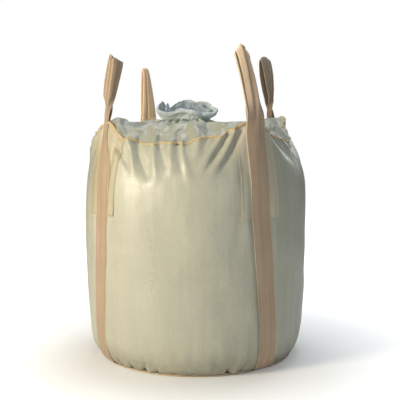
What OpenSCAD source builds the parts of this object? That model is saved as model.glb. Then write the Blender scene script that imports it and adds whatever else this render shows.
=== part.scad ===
// Bulk bag (flexible intermediate container), filled and standing.
// Four corner belts run down the outside of a tubular body and under its
// base, and carry a free lifting loop each. The origin is the middle of the
// base, +Z is up and the front faces -Y.

/* [Bag] */
// Largest diameter of the filled body
bag_d = 1080; // [1040:10:1120]
// Height of the top seam at the lifting corners
bag_h = 1135; // [1100:5:1160]
// How far the top seam dips between two corners
seam_dip = 75; // [60:5:85]
// Angle of each corner from the middle of the front or the back
corner_a = 42; // [39:1:45]
// Thickness of the woven cloth with its coating
cloth_t = 1.2; // [1:0.1:1.4]
// Thickness of the inner liner film
film_t = 0.6; // [0.4:0.1:0.7]
// Height of the contents below the top panel
fill_gap = 8; // [6:1:20]

/* [Webbing] */
// Width of the belts
belt_w = 100; // [80:5:100]
// Thickness of the webbing
belt_t = 2.5; // [2:0.1:2.8]
// Radius at which a belt ends under the base
belt_in = 236; // [200:4:300]
// Drift of each belt's lower end round the body: front right, back right, back left, front left
belt_drift = [8, -3, 3, -7]; // [-8:1:8]
// Width of each reinforcing patch
patch_w = 204; // [180:4:210]
// Thickness of a reinforcing patch
patch_t = 1; // [0.8:0.1:1.1]
// Diameter of the sewing cord along the belts
stitch_d = 1.6; // [1.2:0.1:2]

/* [Loops] */
// Height of each loop above its bend: front right, back right, back left, front left
loop_h = [316, 323, 270, 274]; // [250:1:340]
// Width of the webbing at the foot of each loop
loop_foot_w = [88, 44, 90, 46]; // [40:1:92]
// Width of the webbing at the top of each loop
loop_top_w = [76, 86, 46, 92]; // [40:1:92]
// Inward lean of each loop's top
loop_lean = [50, 38, 10, 43]; // [0:1:60]
// Sideways lean of each loop's top
loop_side = [-45, 0, 26, 0]; // [-50:1:50]
// Bulge of the loop's two legs away from each other
loop_open = 24; // [20:1:48]
// Clear gap between the legs at the foot
loop_gap = 16; // [14:1:18]

/* [Spout] */
// Spout centre, left and right of the bag's middle
spout_x = -45; // [-60:5:0]
// Spout centre, front and back of the bag's middle
spout_y = -20; // [-40:5:20]
// Radius of the spout's seam in the top panel
spout_r = 175; // [160:5:185]
// Radius of the gathered neck
neck_r = 42; // [38:1:48]
// Reach of the flared mouth
mouth_r = 126; // [110:2:134]
// Height of the mouth's rim above the floor
mouth_z = 1240; // [1224:2:1250]
// Number of pleats round the mouth
mouth_pleats = 7; // [5:1:9]
// Diameter of the tie cord
tie_d = 7; // [5:0.5:8]

/* [Hidden] */
$fn = 48;

// Corners in the order front right, back right, back left, front left, as
// angles round +Z from the front.
corners = [corner_a, 180 - corner_a, 180 + corner_a, 360 - corner_a];
rs = bag_d / 1080;
zs = bag_h / 1100;
// Rings of the body's outside between two corners, from the base to the seam.
wall_r = [436, 470, 496, 515, 526, 533, 538, 540, 540, 534, 516, 487, 445];
wall_z = [3.2, 13, 45, 100, 180, 300, 450, 590, 700, 820, 898, 963, 1100 - seam_dip];
// What a corner adds to each ring.
corner_r = [0, 0, 0, 1, 2, 2, 2, 2, 2, 4, 10, 26, 58];
corner_z = [0, 0, 0, 0, 0, 0, 0, 0, 0, 4, 16, 43, seam_dip];
K = len(wall_r) - 1;
patch_k = 8;
// Steps round the body from a corner to the middle of a side.
patch_a = patch_w / 2 / (540 * rs) * 57.3;
half_steps = [0.13, 0.28, 0.45, 0.64, 0.82];
patch_s = [0, 0.42, 0.88, 1];
function half(m) = concat([for (s = patch_s) patch_a * s],
                          [for (s = half_steps) patch_a + (m - patch_a) * s]);
function side(a0, m) = let (h = half(m), n = len(h))
    concat([for (x = h) a0 + x], [a0 + m], [for (i = [n - 1:-1:1]) a0 + 2 * m - h[i]]);
GRID = concat(side(corners[0], 90 - corner_a), side(corners[1], corner_a),
              side(corners[2], 90 - corner_a), side(corners[3], corner_a));
N = len(GRID);

// Top panel and spout: share of the way from the seam to the spout's seam.
dome_s = [0, 0.2, 0.5, 1];
dome_f = [0, 0.5, 0.85, 1];
dome_z = 1094 * zs;
tie_z = 1124 * zs;
// Loop bend above the top seam.
bend_z = bag_h + 14;
bend_r = 505 * rs;

function polar(a, r, z) = [r * sin(a), -r * cos(a), z];
function gap(a, b) = let (d = abs(a - b) % 360) d > 180 ? 360 - d : d;
function peak(a) = max([for (c = corners) exp(-pow(gap(a, c) / 14, 2))]);
function base_rz(k, a) = let (b = peak(a)) [rs * (wall_r[k] + b * corner_r[k]),
                                           zs * (wall_z[k] + b * corner_z[k])];
function out_rz(k, a) = let (d = base_rz(min(k + 1, K), a) - base_rz(max(k - 1, 0), a))
    [d[1], -d[0]] / norm(d);
// A point of the body's skin, moved out by o.
function skin(k, a, o) = let (p = base_rz(k, a) + o * out_rz(k, a)) polar(a, p[0], p[1]);
// A point of the top, lowered by o, with the rim pulled in by e.
function dome(j, a, o, e) =
    let (p = base_rz(K, a), rim = polar(a, p[0] - e, p[1]),
         eye = polar(a, spout_r, dome_z) + [spout_x, spout_y, 0],
         m = rim + (eye - rim) * dome_s[j])
    [m[0], m[1], rim[2] + (eye[2] - rim[2]) * dome_f[j] - o];

function wall_rings(o) = [for (k = [0:K]) [for (a = GRID) skin(k, a, o)]];
function dome_rings(o, e) = [for (j = [0:3]) [for (a = GRID) dome(j, a, o, e)]];
function flat_list(l) = [for (r = l) for (p = r) p];
// Faces of a closed band between rings i and i + 1 of n points, from point s.
function band(i, n, s, inside) = [for (j = [0:n - 1])
    let (a = s + i * n + j, b = s + i * n + (j + 1) % n, c = a + n, d = b + n)
    each inside ? [[a, b, c], [b, d, c]] : [[a, c, b], [b, c, d]]];

// A shell between two equal sets of rings.
module shell(outer, inner) {
    m = len(outer);
    n = len(outer[0]);
    s = m * n;
    polyhedron(concat(flat_list(outer), flat_list(inner)), concat(
        [for (i = [0:m - 2]) each band(i, n, 0, false)],
        [for (i = [0:m - 2]) each band(i, n, s, true)],
        [for (j = [0:n - 1]) let (q = (j + 1) % n) each
            [[j, q, s + j], [q, s + q, s + j],
             [s - n + j, 2 * s - n + j, s - n + q], [s - n + q, 2 * s - n + j, 2 * s - n + q]]]));
}

// A solid inside one set of rings, closed at its two ends.
module plug(rings) {
    m = len(rings);
    n = len(rings[0]);
    function mid(r) = [for (i = [0:2]) [for (p = r) p[i]] * [for (p = r) 1] / n];
    polyhedron(concat(flat_list(rings), [mid(rings[0]), mid(rings[m - 1])]), concat(
        [for (i = [0:m - 2]) each band(i, n, 0, false)],
        [for (j = [0:n - 1]) [j, (j + 1) % n, m * n]],
        [for (j = [0:n - 1]) [(m - 1) * n + j, m * n + 1, (m - 1) * n + (j + 1) % n]]));
}

// A strip through stations of equal, closed sections, capped at both ends.
module strip(stations) {
    m = len(stations);
    n = len(stations[0]);
    polyhedron(flat_list(stations), concat(
        [for (i = [0:m - 2]) each band(i, n, 0, false)],
        [[for (j = [0:n - 1]) j]],
        [[for (j = [n - 1:-1:0]) (m - 1) * n + j]]));
}

// A closed sheet between two equal grids of points that don't go all round.
module sheet(outer, inner) {
    m = len(outer);
    n = len(outer[0]);
    s = m * n;
    polyhedron(concat(flat_list(outer), flat_list(inner)), concat(
        [for (i = [0:m - 2], j = [0:n - 2]) let (a = i * n + j, b = a + 1, c = a + n, d = b + n) each
            [[a, c, b], [b, c, d], [s + a, s + b, s + c], [s + b, s + d, s + c]]],
        [for (j = [0:n - 2]) let (t = s - n + j) each
            [[j, j + 1, s + j], [j + 1, s + j + 1, s + j], [t, s + t, t + 1], [t + 1, s + t, s + t + 1]]],
        [for (i = [0:m - 2]) let (a = i * n, b = a + n, c = a + n - 1, d = c + n) each
            [[a, s + a, b], [b, s + a, s + b], [c, d, s + c], [d, s + d, s + c]]]));
}

// Four corners of a flat strip at p, w wide along t and d thick along o.
function section(p, t, o, w, d) = [p - t * w / 2 + o * d / 2, p + t * w / 2 + o * d / 2,
                                   p + t * w / 2 - o * d / 2, p - t * w / 2 - o * d / 2];

// ---- contents and liner
module bulk_fill() color("tan")
    plug(concat([for (k = [0:K - 1]) [for (a = GRID) skin(k, a, -cloth_t - film_t - 2)]],
                [for (j = [0:3]) [for (a = GRID) dome(j, a, fill_gap + 2, 12)]]));

liner_o = -cloth_t - 0.6;
function liner_rings(o, e) = concat(
    [[for (a = GRID) polar(a, 2, zs * wall_z[0] - o)]],
    wall_rings(o),
    [for (j = [0:2]) [for (a = GRID) dome(j, a, 3 - o + e, 7)]],
    [[for (a = GRID) polar(a, spout_r - 3 - e, dome_z - 5 + o) + [spout_x, spout_y, 0]]]);
module liner() color("lightsteelblue", 0.6)
    shell(liner_rings(liner_o, 0), liner_rings(liner_o - film_t, film_t));

// ---- cloth
module side_wall() color("wheat") shell(wall_rings(0), wall_rings(-cloth_t));

module top_panel() color("gainsboro") shell(
    [for (j = [0:3]) [for (a = GRID) dome(j, a, 0, 6)]],
    [for (j = [0:3]) [for (a = GRID) dome(j, a, cloth_t, 6)]]);

function low_a(i) = corners[i] + belt_drift[i];
module bottom_panel() color("wheat") difference() {
    cylinder(r = 434 * rs, h = 4, $fn = 96);
    for (i = [0:3]) rotate(low_a(i)) translate([-belt_w / 2 - 1.5, -480 * rs, -1])
        cube([belt_w + 3, 480 * rs - belt_in + 4, belt_t + 1.3]);
}

// ---- seams
seam_d = 3;
module top_seam() color("orange") shell(
    [for (i = [0:6]) [for (a = GRID) let (p = base_rz(K, a), t = -i * 30)
        polar(a, p[0] - 2 - seam_d * cos(t), p[1] + 4 - seam_d * sin(t))]],
    [for (i = [0:6]) [for (a = GRID) let (p = base_rz(K, a))
        polar(a, p[0] - 2 - seam_d * (1 - i / 3), p[1] + 0.6)]]);

module bottom_seam() color("orange")
    for (i = [0:3]) let (a0 = low_a(i) + 6.5, a1 = low_a((i + 1) % 4) - 6.5 + (i == 3 ? 360 : 0))
        rotate(a0 - 90) rotate_extrude(angle = a1 - a0, $fn = 96)
            translate([463.2 * rs, 6.2]) circle(r = 2.6, $fn = 24);

module spout_seam() color("orange") translate([spout_x, spout_y, dome_z + 3.2])
    rotate_extrude($fn = 72) translate([spout_r + 4, 0]) circle(r = 2.4, $fn = 24);

// ---- spout
module spout_skirt() color("lightsteelblue") translate([spout_x, spout_y, 0])
    rotate_extrude($fn = 72) polygon([
        [spout_r - 1, dome_z + 1], [spout_r - 40, dome_z + 3], [neck_r + 30, dome_z + 5],
        [neck_r - 10, dome_z + 5], [neck_r - 10, dome_z + 3.4], [neck_r + 29, dome_z + 3.4],
        [spout_r - 41, dome_z + 1.4], [spout_r - 1, dome_z - 0.6]]);

// The pleated rim of a flared mouth: radius and height round the spout.
function pleat(a, s, r, z, d) =
    let (w = cos(a * mouth_pleats + 40), v = cos(a * 3 - 70))
    [(r + s * (0.075 * r * w + 0.05 * r * v)) * sin(a), -(r + s * (0.075 * r * w + 0.05 * r * v)) * cos(a),
     z + s * (9 * w + 6 * v) + d] + [spout_x, spout_y, 0];
mouth_steps = [for (i = [0:55]) i * 360 / 56];
function mouth_rings(o, d, r0, r1, z1) =
    let (z0 = tie_z - 6)
    [for (s = [[0, r0 * 0.8, z0], [0, r0, z0 + 21], [0.35, r0 + (r1 - r0) * 0.45, z0 + 30 + (z1 - z0 - 30) * 0.16],
               [0.7, r0 + (r1 - r0) * 0.8, z0 + 30 + (z1 - z0 - 30) * 0.5], [1, r1, z1 - 14]])
        [for (a = mouth_steps) pleat(a, s[0], s[1] + o, s[2], d)]];
module spout_mouth() color("lightsteelblue")
    shell(mouth_rings(0, 0, neck_r - 4, mouth_r, mouth_z), mouth_rings(-1.6, 1.2, neck_r - 4, mouth_r, mouth_z));
module liner_mouth() color("azure")
    shell(mouth_rings(0, 7, 12, mouth_r - 26, mouth_z - 12), mouth_rings(-1, 8, 12, mouth_r - 26, mouth_z - 12));

// Three turns of cord round the neck and a small flat knot.
module spout_tie() color("white") translate([spout_x, spout_y, tie_z]) {
    for (i = [-1:1]) translate([0, 0, 3 + i * (tie_d - 1)])
        rotate_extrude($fn = 60) translate([neck_r + tie_d / 2 - 3, 0]) circle(d = tie_d, $fn = 24);
    translate([12, -neck_r - tie_d, 3]) rotate([90, 0, 15]) scale([1.5, 1.2, 0.9]) sphere(d = 12, $fn = 32);
}

// ---- patches
function patch_grid(i, o) = [for (k = [patch_k:K]) [for (s = [-3:3])
    skin(k, corners[i] + sign(s) * patch_s[abs(s)] * patch_a, o)]];
module patch(i) color("wheat") sheet(patch_grid(i, 0.35 + patch_t), patch_grid(i, 0.35));
module patch_front_right() patch(0);
module patch_back_right() patch(1);
module patch_back_left() patch(2);
module patch_front_left() patch(3);

// Sewing cord down the two long edges of each patch and along its hem.
module patch_stitching() color("khaki") for (i = [0:3]) {
    for (s = [-1, 1]) strip([for (k = [patch_k:K]) let (a = corners[i] + s * patch_a * patch_s[2])
        section(skin(k, a, patch_t + 1.2), [cos(a), sin(a), 0], [sin(a), -cos(a), 0], 1.2, 0.8)]);
    for (s = [-1, 1]) strip([for (f = [0.84, 0.74, 0.64, 0.54]) let (a = corners[i] + s * patch_a * f)
        section(skin(patch_k, a, patch_t + 1.5) + [0, 0, 14], [0, 0, s], [sin(a), -cos(a), 0], 1.2, 0.7)]);
}

// ---- belts
belt_o = 2 + belt_t / 2;
function drift(i, k) = belt_drift[i] * max(0, 1 - wall_z[k] / 720);
// Middle line of a belt as [angle, radius, height, outward radius, outward height].
function belt_line(i) = concat(
    [[low_a(i), belt_in, belt_t / 2, 0, -1], [low_a(i), 440 * rs, belt_t / 2, 0, -1],
     [low_a(i), 456 * rs, belt_t / 2 + 0.5, 0.1, -0.995]],
    [for (k = [1:K]) let (a = corners[i] + drift(i, k), n = out_rz(k, a), p = base_rz(k, a) + belt_o * n)
        [a, p[0], p[1], n[0], n[1]]],
    [[corners[i], bend_r - 0.3, bend_z - 5, 1, 0]]);
module belt(i) color("tan") strip([for (p = belt_line(i))
    section(polar(p[0], p[1], p[2]), [cos(p[0]), sin(p[0]), 0], polar(p[0], p[3], p[4]), belt_w, belt_t)]);
module belt_front_right() belt(0);
module belt_back_right() belt(1);
module belt_back_left() belt(2);
module belt_front_left() belt(3);

// Two rows of sewing cord on the face of each belt.
module belt_stitching() color("khaki") for (i = [0:3], s = [-1, 1]) {
    l = belt_line(i);
    strip([for (j = [4:len(l) - 2]) let (p = l[j], t = [cos(p[0]), sin(p[0]), 0], n = polar(p[0], p[3], p[4]))
        section(polar(p[0], p[1], p[2]) + t * s * (belt_w / 2 - 9) + n * (belt_t / 2 + 0.35 + stitch_d / 4),
                t, n, stitch_d, stitch_d / 2)]);
}

// ---- loops
// A point of a loop's middle line: u outward, v sideways, w up, at share t.
function loop_u(i, t) = -(loop_gap + belt_t) / 2
    + ((loop_gap + belt_t) / 2 + loop_open * sin(180 * t)) * cos(180 * t)
    - loop_lean[i] * sin(180 * t);
function loop_w(i, t) = 0.8 + loop_h[i] * sin(180 * t) + (t > 0.5 ? 12 * (2 * t - 1) : 0);
function loop_v(i, t) = loop_side[i] * sin(180 * t);
function loop_width(i, t) = loop_foot_w[i] + (loop_top_w[i] - loop_foot_w[i]) * sin(180 * t);
module loop_solid(i, o, d, side_w, t0, t1, steps) {
    a = corners[i];
    er = [sin(a), -cos(a), 0];
    et = [cos(a), sin(a), 0];
    c = polar(a, bend_r, bend_z);
    function at(t) = c + er * loop_u(i, t) + et * loop_v(i, t) + [0, 0, loop_w(i, t)];
    strip([for (j = [0:steps]) let (t = t0 + (t1 - t0) * j / steps, h = 0.002,
            du = loop_u(i, t + h) - loop_u(i, t - h), dw = loop_w(i, t + h) - loop_w(i, t - h),
            l = norm([du, dw]), n = (er * dw - [0, 0, du]) / l)
        section(at(t) + n * o + et * (side_w == 0 ? 0 : side_w * (loop_width(i, t) / 2 - 8)), et, n,
                side_w == 0 ? loop_width(i, t) : stitch_d, d)]);
}
module loop(i) color("burlywood") loop_solid(i, 0, belt_t, 0, 0.003, 0.997, 32);
module loop_front_right() loop(0);
module loop_back_right() loop(1);
module loop_back_left() loop(2);
module loop_front_left() loop(3);
// Sewing cord along both edges of a loop's outer leg.
module loop_stitching(i) color("khaki") for (s = [-1, 1])
    loop_solid(i, belt_t / 2 + 0.2 + stitch_d / 4, stitch_d / 2, s, 0.012, 0.40, 18);
module loop_stitching_front_right() loop_stitching(0);
module loop_stitching_back_right() loop_stitching(1);
module loop_stitching_back_left() loop_stitching(2);
module loop_stitching_front_left() loop_stitching(3);

bulk_fill();
liner();
side_wall();
bottom_panel();
top_panel();
top_seam();
bottom_seam();
spout_seam();
spout_skirt();
spout_mouth();
liner_mouth();
spout_tie();
patch_front_right();
patch_back_right();
patch_back_left();
patch_front_left();
belt_front_right();
belt_back_right();
belt_back_left();
belt_front_left();
belt_stitching();
patch_stitching();
loop_front_right();
loop_back_right();
loop_back_left();
loop_front_left();
loop_stitching_front_right();
loop_stitching_back_right();
loop_stitching_back_left();
loop_stitching_front_left();
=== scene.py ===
import math

import bpy
import numpy as np
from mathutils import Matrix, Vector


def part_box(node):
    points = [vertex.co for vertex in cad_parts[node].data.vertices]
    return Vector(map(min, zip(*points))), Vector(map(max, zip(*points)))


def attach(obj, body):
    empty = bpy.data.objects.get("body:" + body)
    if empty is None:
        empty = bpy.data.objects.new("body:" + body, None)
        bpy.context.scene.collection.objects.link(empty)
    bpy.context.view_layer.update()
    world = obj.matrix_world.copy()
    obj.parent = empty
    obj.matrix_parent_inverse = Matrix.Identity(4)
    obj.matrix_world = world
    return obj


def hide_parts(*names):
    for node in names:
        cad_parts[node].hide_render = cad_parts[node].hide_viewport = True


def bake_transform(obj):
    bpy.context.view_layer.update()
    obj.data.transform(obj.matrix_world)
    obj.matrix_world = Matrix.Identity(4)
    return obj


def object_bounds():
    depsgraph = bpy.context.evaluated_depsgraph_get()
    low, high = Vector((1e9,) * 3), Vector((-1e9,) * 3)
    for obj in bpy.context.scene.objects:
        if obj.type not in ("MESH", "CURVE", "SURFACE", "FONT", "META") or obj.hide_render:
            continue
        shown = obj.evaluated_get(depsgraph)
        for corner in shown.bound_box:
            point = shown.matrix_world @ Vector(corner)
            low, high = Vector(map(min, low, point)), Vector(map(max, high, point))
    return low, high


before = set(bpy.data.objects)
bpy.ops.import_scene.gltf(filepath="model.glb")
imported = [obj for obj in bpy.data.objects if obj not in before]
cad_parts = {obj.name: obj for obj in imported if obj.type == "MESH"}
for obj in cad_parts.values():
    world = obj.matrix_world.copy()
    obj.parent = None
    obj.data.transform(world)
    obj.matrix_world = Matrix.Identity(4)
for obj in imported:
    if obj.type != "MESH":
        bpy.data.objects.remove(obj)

CAD_LO, CAD_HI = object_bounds()
SC = bpy.context.scene
rad, pi = np.radians, np.pi

# ------------------------------------------------------------------ camera
CAM_D, CAM_AZ, CAM_Z, F_PX = 4.0, math.radians(10.5), 1.147, 811.0
cam_data = bpy.data.cameras.new("camera")
cam_data.lens, cam_data.sensor_width = F_PX / 400 * 36, 36
cam = bpy.data.objects.new("camera", cam_data)
SC.collection.objects.link(cam)
cam.location = (CAM_D * math.sin(CAM_AZ), -CAM_D * math.cos(CAM_AZ), CAM_Z)
cam.rotation_euler = (math.pi / 2 - math.atan(80 / F_PX), 0, CAM_AZ - math.atan(3.5 / F_PX))
SC.camera = cam

# ------------------------------------------------------------------ small tools
def hashed(seed, n, lo=0.0, hi=1.0):
    return np.random.default_rng(seed).uniform(lo, hi, n)


def smooth(a, b, x):
    t = np.clip((np.asarray(x, float) - a) / (b - a), 0, 1)
    return t * t * (3 - 2 * t)


def waves(P, scale, seed, count=14):
    """Smooth noise from -1 to 1 at points P, with features about scale wide."""
    g = np.random.default_rng(seed)
    k = g.normal(size=(count, 3))
    k *= (g.uniform(0.55, 1.5, count) * 2 * pi / scale / np.linalg.norm(k, axis=1))[:, None]
    out = np.zeros(P.shape[:-1])
    for d, ph in zip(k, g.uniform(0, 2 * pi, count)):
        out += np.sin(P @ d + ph)
    return out / math.sqrt(count) * 0.8


def creases(P, scale, seed, count=7):
    """Crumpled noise with sharp folds, about -1 to 1."""
    g = np.random.default_rng(seed)
    k = g.normal(size=(count, 3))
    k *= (g.uniform(0.5, 1.6, count) / scale / np.linalg.norm(k, axis=1))[:, None]
    out = np.zeros(P.shape[:-1])
    for d, ph in zip(k, g.uniform(0, 2, count)):
        x = P @ d + ph + 0.25 * np.sin(P[..., 0] / scale * 1.7 + ph) + 0.25 * np.sin(P[..., 2] / scale * 2.1 - ph)
        out += np.abs((x % 2) - 1) * 2 - 1
    return out / math.sqrt(count) * 0.9


def ring_interp(table, phi):
    """A value round the bag from rows of (angle, value), smoothed a little."""
    t = np.array(sorted(table), float)
    dense = np.arange(-180, 180, 0.5)
    v = np.interp(dense, t[:, 0], t[:, 1], period=360)
    k = np.exp(-0.5 * (np.arange(-6, 7) * 0.5 / 1.1) ** 2)
    k /= k.sum()
    v = sum(w * np.roll(v, i - 6) for i, w in enumerate(k))
    return np.interp(phi, dense, v, period=360)


def catmull(points, per=16):
    p = np.array(points, float)
    p = np.vstack([2 * p[0] - p[1], p, 2 * p[-1] - p[-2]])
    out = []
    for i in range(1, len(p) - 2):
        t = (np.arange(per) / per)[:, None]
        a, b, c, d = p[i - 1], p[i], p[i + 1], p[i + 2]
        out.append(0.5 * (2 * b + (c - a) * t + (2 * a - 5 * b + 4 * c - d) * t**2 + (3 * b - a - 3 * c + d) * t**3))
    return np.vstack(out + [p[-2][None]])


def faces_of(m, n, closed, flip=False, base=0):
    c = n if closed else n - 1
    i, j = np.meshgrid(np.arange(m - 1), np.arange(c), indexing="ij")
    q = np.stack([i * n + j, i * n + (j + 1) % n, (i + 1) * n + (j + 1) % n, (i + 1) * n + j], -1).reshape(-1, 4)
    return (q[:, ::-1] if flip else q) + base


def mesh(name, verts, faces, mat, uv=None, attributes=None):
    """faces is a list of index lists or an array; uv has one pair for each face corner."""
    me = bpy.data.meshes.new(name)
    me.from_pydata(np.asarray(verts, float).reshape(-1, 3).tolist(), [], [list(map(int, f)) for f in faces])
    me.polygons.foreach_set("use_smooth", np.ones(len(me.polygons), bool))
    if uv is not None:
        layer = me.uv_layers.new(name="UVMap")
        layer.data.foreach_set("uv", np.asarray(uv, np.float32).ravel())
    for key, value in (attributes or {}).items():
        at = me.attributes.new(key, "FLOAT", "POINT")
        at.data.foreach_set("value", np.asarray(value, np.float32).ravel())
    me.update()
    o = bpy.data.objects.new(name, me)
    SC.collection.objects.link(o)
    me.materials.append(mat)
    return o


def grid(name, P, mat, closed=False, U=None, V=None, flip=False, attributes=None):
    """A surface through rows of points. U and V are in metres, with one more column where it closes."""
    m, n = P.shape[:2]
    c = n if closed else n - 1
    uv = None
    if U is not None:
        i, j = np.meshgrid(np.arange(m - 1), np.arange(c), indexing="ij")
        i, j = i.ravel(), j.ravel()
        corner = [(i, j), (i, j + 1), (i + 1, j + 1), (i + 1, j)]
        if flip:
            corner = corner[::-1]
        uv = np.stack([np.stack([U[a, b], V[a, b]], -1) for a, b in corner], 1)
    return mesh(name, P.reshape(-1, 3), faces_of(m, n, closed, flip), mat, uv, attributes)


def normals(P, closed=False):
    """Unit normals of a grid of points, on the side that faces_of calls the outside."""
    if closed:
        du = np.roll(P, -1, 1) - np.roll(P, 1, 1)
    else:
        du = np.gradient(P, axis=1)
    n = np.cross(du, np.gradient(P, axis=0))
    return n / np.maximum(np.linalg.norm(n, axis=-1, keepdims=True), 1e-12)


def ribbon(name, P, thick, mat, painted_shading=None, N=None, across=None):
    """A closed strip of webbing round a grid of stations (rows) by points across (columns)."""
    m, n = P.shape[:2]
    N = normals(P) if N is None else N
    ring = np.concatenate([P + N * thick / 2, (P - N * thick / 2)[:, ::-1]], 1)
    along = np.concatenate([[0], np.cumsum(np.linalg.norm(np.diff(P[:, n // 2], axis=0), axis=1))])
    across = np.linspace(-0.05, 0.05, n) if across is None else across
    s = np.concatenate([across, across[::-1], across[:1]])
    U = np.broadcast_to(s, (m, 2 * n + 1))
    V = np.broadcast_to(along[:, None], (m, 2 * n + 1))
    i, j = np.meshgrid(np.arange(m - 1), np.arange(2 * n), indexing="ij")
    i, j = i.ravel(), j.ravel()
    uv = np.stack([np.stack([U[a, b], V[a, b]], -1) for a, b in [(i, j), (i, j + 1), (i + 1, j + 1), (i + 1, j)]], 1)
    faces = faces_of(m, 2 * n, True)
    k = 2 * n
    caps, cap_uv = [], []
    for row, order in ((0, 1), (m - 1, 0)):
        for j in range(n - 1):
            q = [row * k + j, row * k + j + 1, row * k + k - 2 - j, row * k + k - 1 - j]
            caps.append(q[::-1] if order else q)
            cap_uv.append([[across[j], along[row]]] * 4)
    o = mesh(name, ring.reshape(-1, 3), list(faces) + caps, mat,
             np.concatenate([uv.reshape(-1, 2), np.array(cap_uv).reshape(-1, 2)]),
             None if painted_shading is None else {"painted_shading": np.broadcast_to(painted_shading, (m, 2 * n)) if np.ndim(painted_shading) < 2
                                        else np.concatenate([painted_shading, painted_shading[:, ::-1]], 1)})
    return o


def tube(path, radius, sides=12, closed=False, squash=1.0, strands=0, pitch=0.02, up=(0, 0, 1)):
    """Vertices and quads of a tube along a path; strands twists a rope's ridges round it."""
    p = np.asarray(path, float)
    m = len(p)
    d = (np.roll(p, -1, 0) - np.roll(p, 1, 0)) if closed else np.gradient(p, axis=0)
    d /= np.linalg.norm(d, axis=1)[:, None]
    side = np.cross(np.broadcast_to(up, d.shape), d)
    side /= np.maximum(np.linalg.norm(side, axis=1), 1e-9)[:, None]
    top = np.cross(d, side)
    step = np.linalg.norm(np.diff(np.vstack([p, p[:1]]), axis=0), axis=1)
    s = np.concatenate([[0], np.cumsum(step)])[:m]
    a = np.arange(sides) * 2 * pi / sides
    r = np.broadcast_to(np.asarray(radius, float), (m,))[:, None]
    if strands:
        r = r * (1 + 0.13 * np.cos(strands * a[None] - 2 * pi * s[:, None] / pitch))
    else:
        r = np.broadcast_to(r, (m, sides))
    v = p[:, None] + side[:, None] * (r * np.cos(a))[..., None] * squash + top[:, None] * (r * np.sin(a))[..., None]
    f = faces_of(m, sides, True)
    total = m * sides
    if closed:
        j = np.arange(sides)
        f = np.vstack([f, np.stack([(m - 1) * sides + j, (m - 1) * sides + (j + 1) % sides, (j + 1) % sides, j], -1)])
        return v.reshape(-1, 3), [list(x) for x in f]
    return v.reshape(-1, 3), [list(x) for x in f] + [list(range(sides))[::-1], list(range(total - sides, total))]


def join(parts):
    verts, faces, n = [], [], 0
    for v, f in parts:
        verts.append(v)
        faces += [[i + n for i in q] for q in f]
        n += len(v)
    return np.vstack(verts), faces


def dashes(points, directions, outs, length, r):
    """Short sewn stitches: rounded bars at points, along directions, half sunk in the cloth."""
    st = np.array([-0.5, -0.38, 0, 0.38, 0.5])
    sr = np.array([0.25, 0.85, 1.0, 0.85, 0.25])
    lift = np.array([-0.9, -0.2, 0.25, -0.2, -0.9])
    a = np.arange(6) * pi / 3
    p, d, o = (np.asarray(x, float) for x in (points, directions, outs))
    s = np.cross(d, o)
    s /= np.maximum(np.linalg.norm(s, axis=1), 1e-9)[:, None]
    o = np.cross(s, d)
    o /= np.maximum(np.linalg.norm(o, axis=1), 1e-9)[:, None]
    v = (p[:, None, None] + d[:, None, None] * (st * length)[None, :, None, None]
         + s[:, None, None] * (sr[:, None] * np.cos(a) * r)[None, :, :, None]
         + o[:, None, None] * (lift[:, None] * r + sr[:, None] * np.sin(a) * r)[None, :, :, None])
    n = len(p)
    base = faces_of(5, 6, True)
    f = (base[None] + (np.arange(n) * 30)[:, None, None]).reshape(-1, 4)
    caps = [[k * 30 + i for i in range(6)][::-1] for k in range(n)] + [[k * 30 + 24 + i for i in range(6)] for k in range(n)]
    return v.reshape(-1, 3), [list(x) for x in f] + caps


def along(path, step, start=0.0, stop=None):
    """Even places along a path: (point, direction, fraction of the index)."""
    p = np.asarray(path, float)
    s = np.concatenate([[0], np.cumsum(np.linalg.norm(np.diff(p, axis=0), axis=1))])
    at = np.arange(start, s[-1] if stop is None else stop, step)
    q = np.stack([np.interp(at, s, p[:, i]) for i in range(3)], -1)
    h = 0.003
    d = np.stack([np.interp(at + h, s, p[:, i]) - np.interp(at - h, s, p[:, i]) for i in range(3)], -1)
    d /= np.maximum(np.linalg.norm(d, axis=1), 1e-9)[:, None]
    return q, d, np.interp(at, s, np.arange(len(p)))


# ------------------------------------------------------------------ materials
def material(name):
    m = bpy.data.materials.new(name)
    m.use_nodes = True
    m.node_tree.nodes.clear()
    return m, m.node_tree


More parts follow.
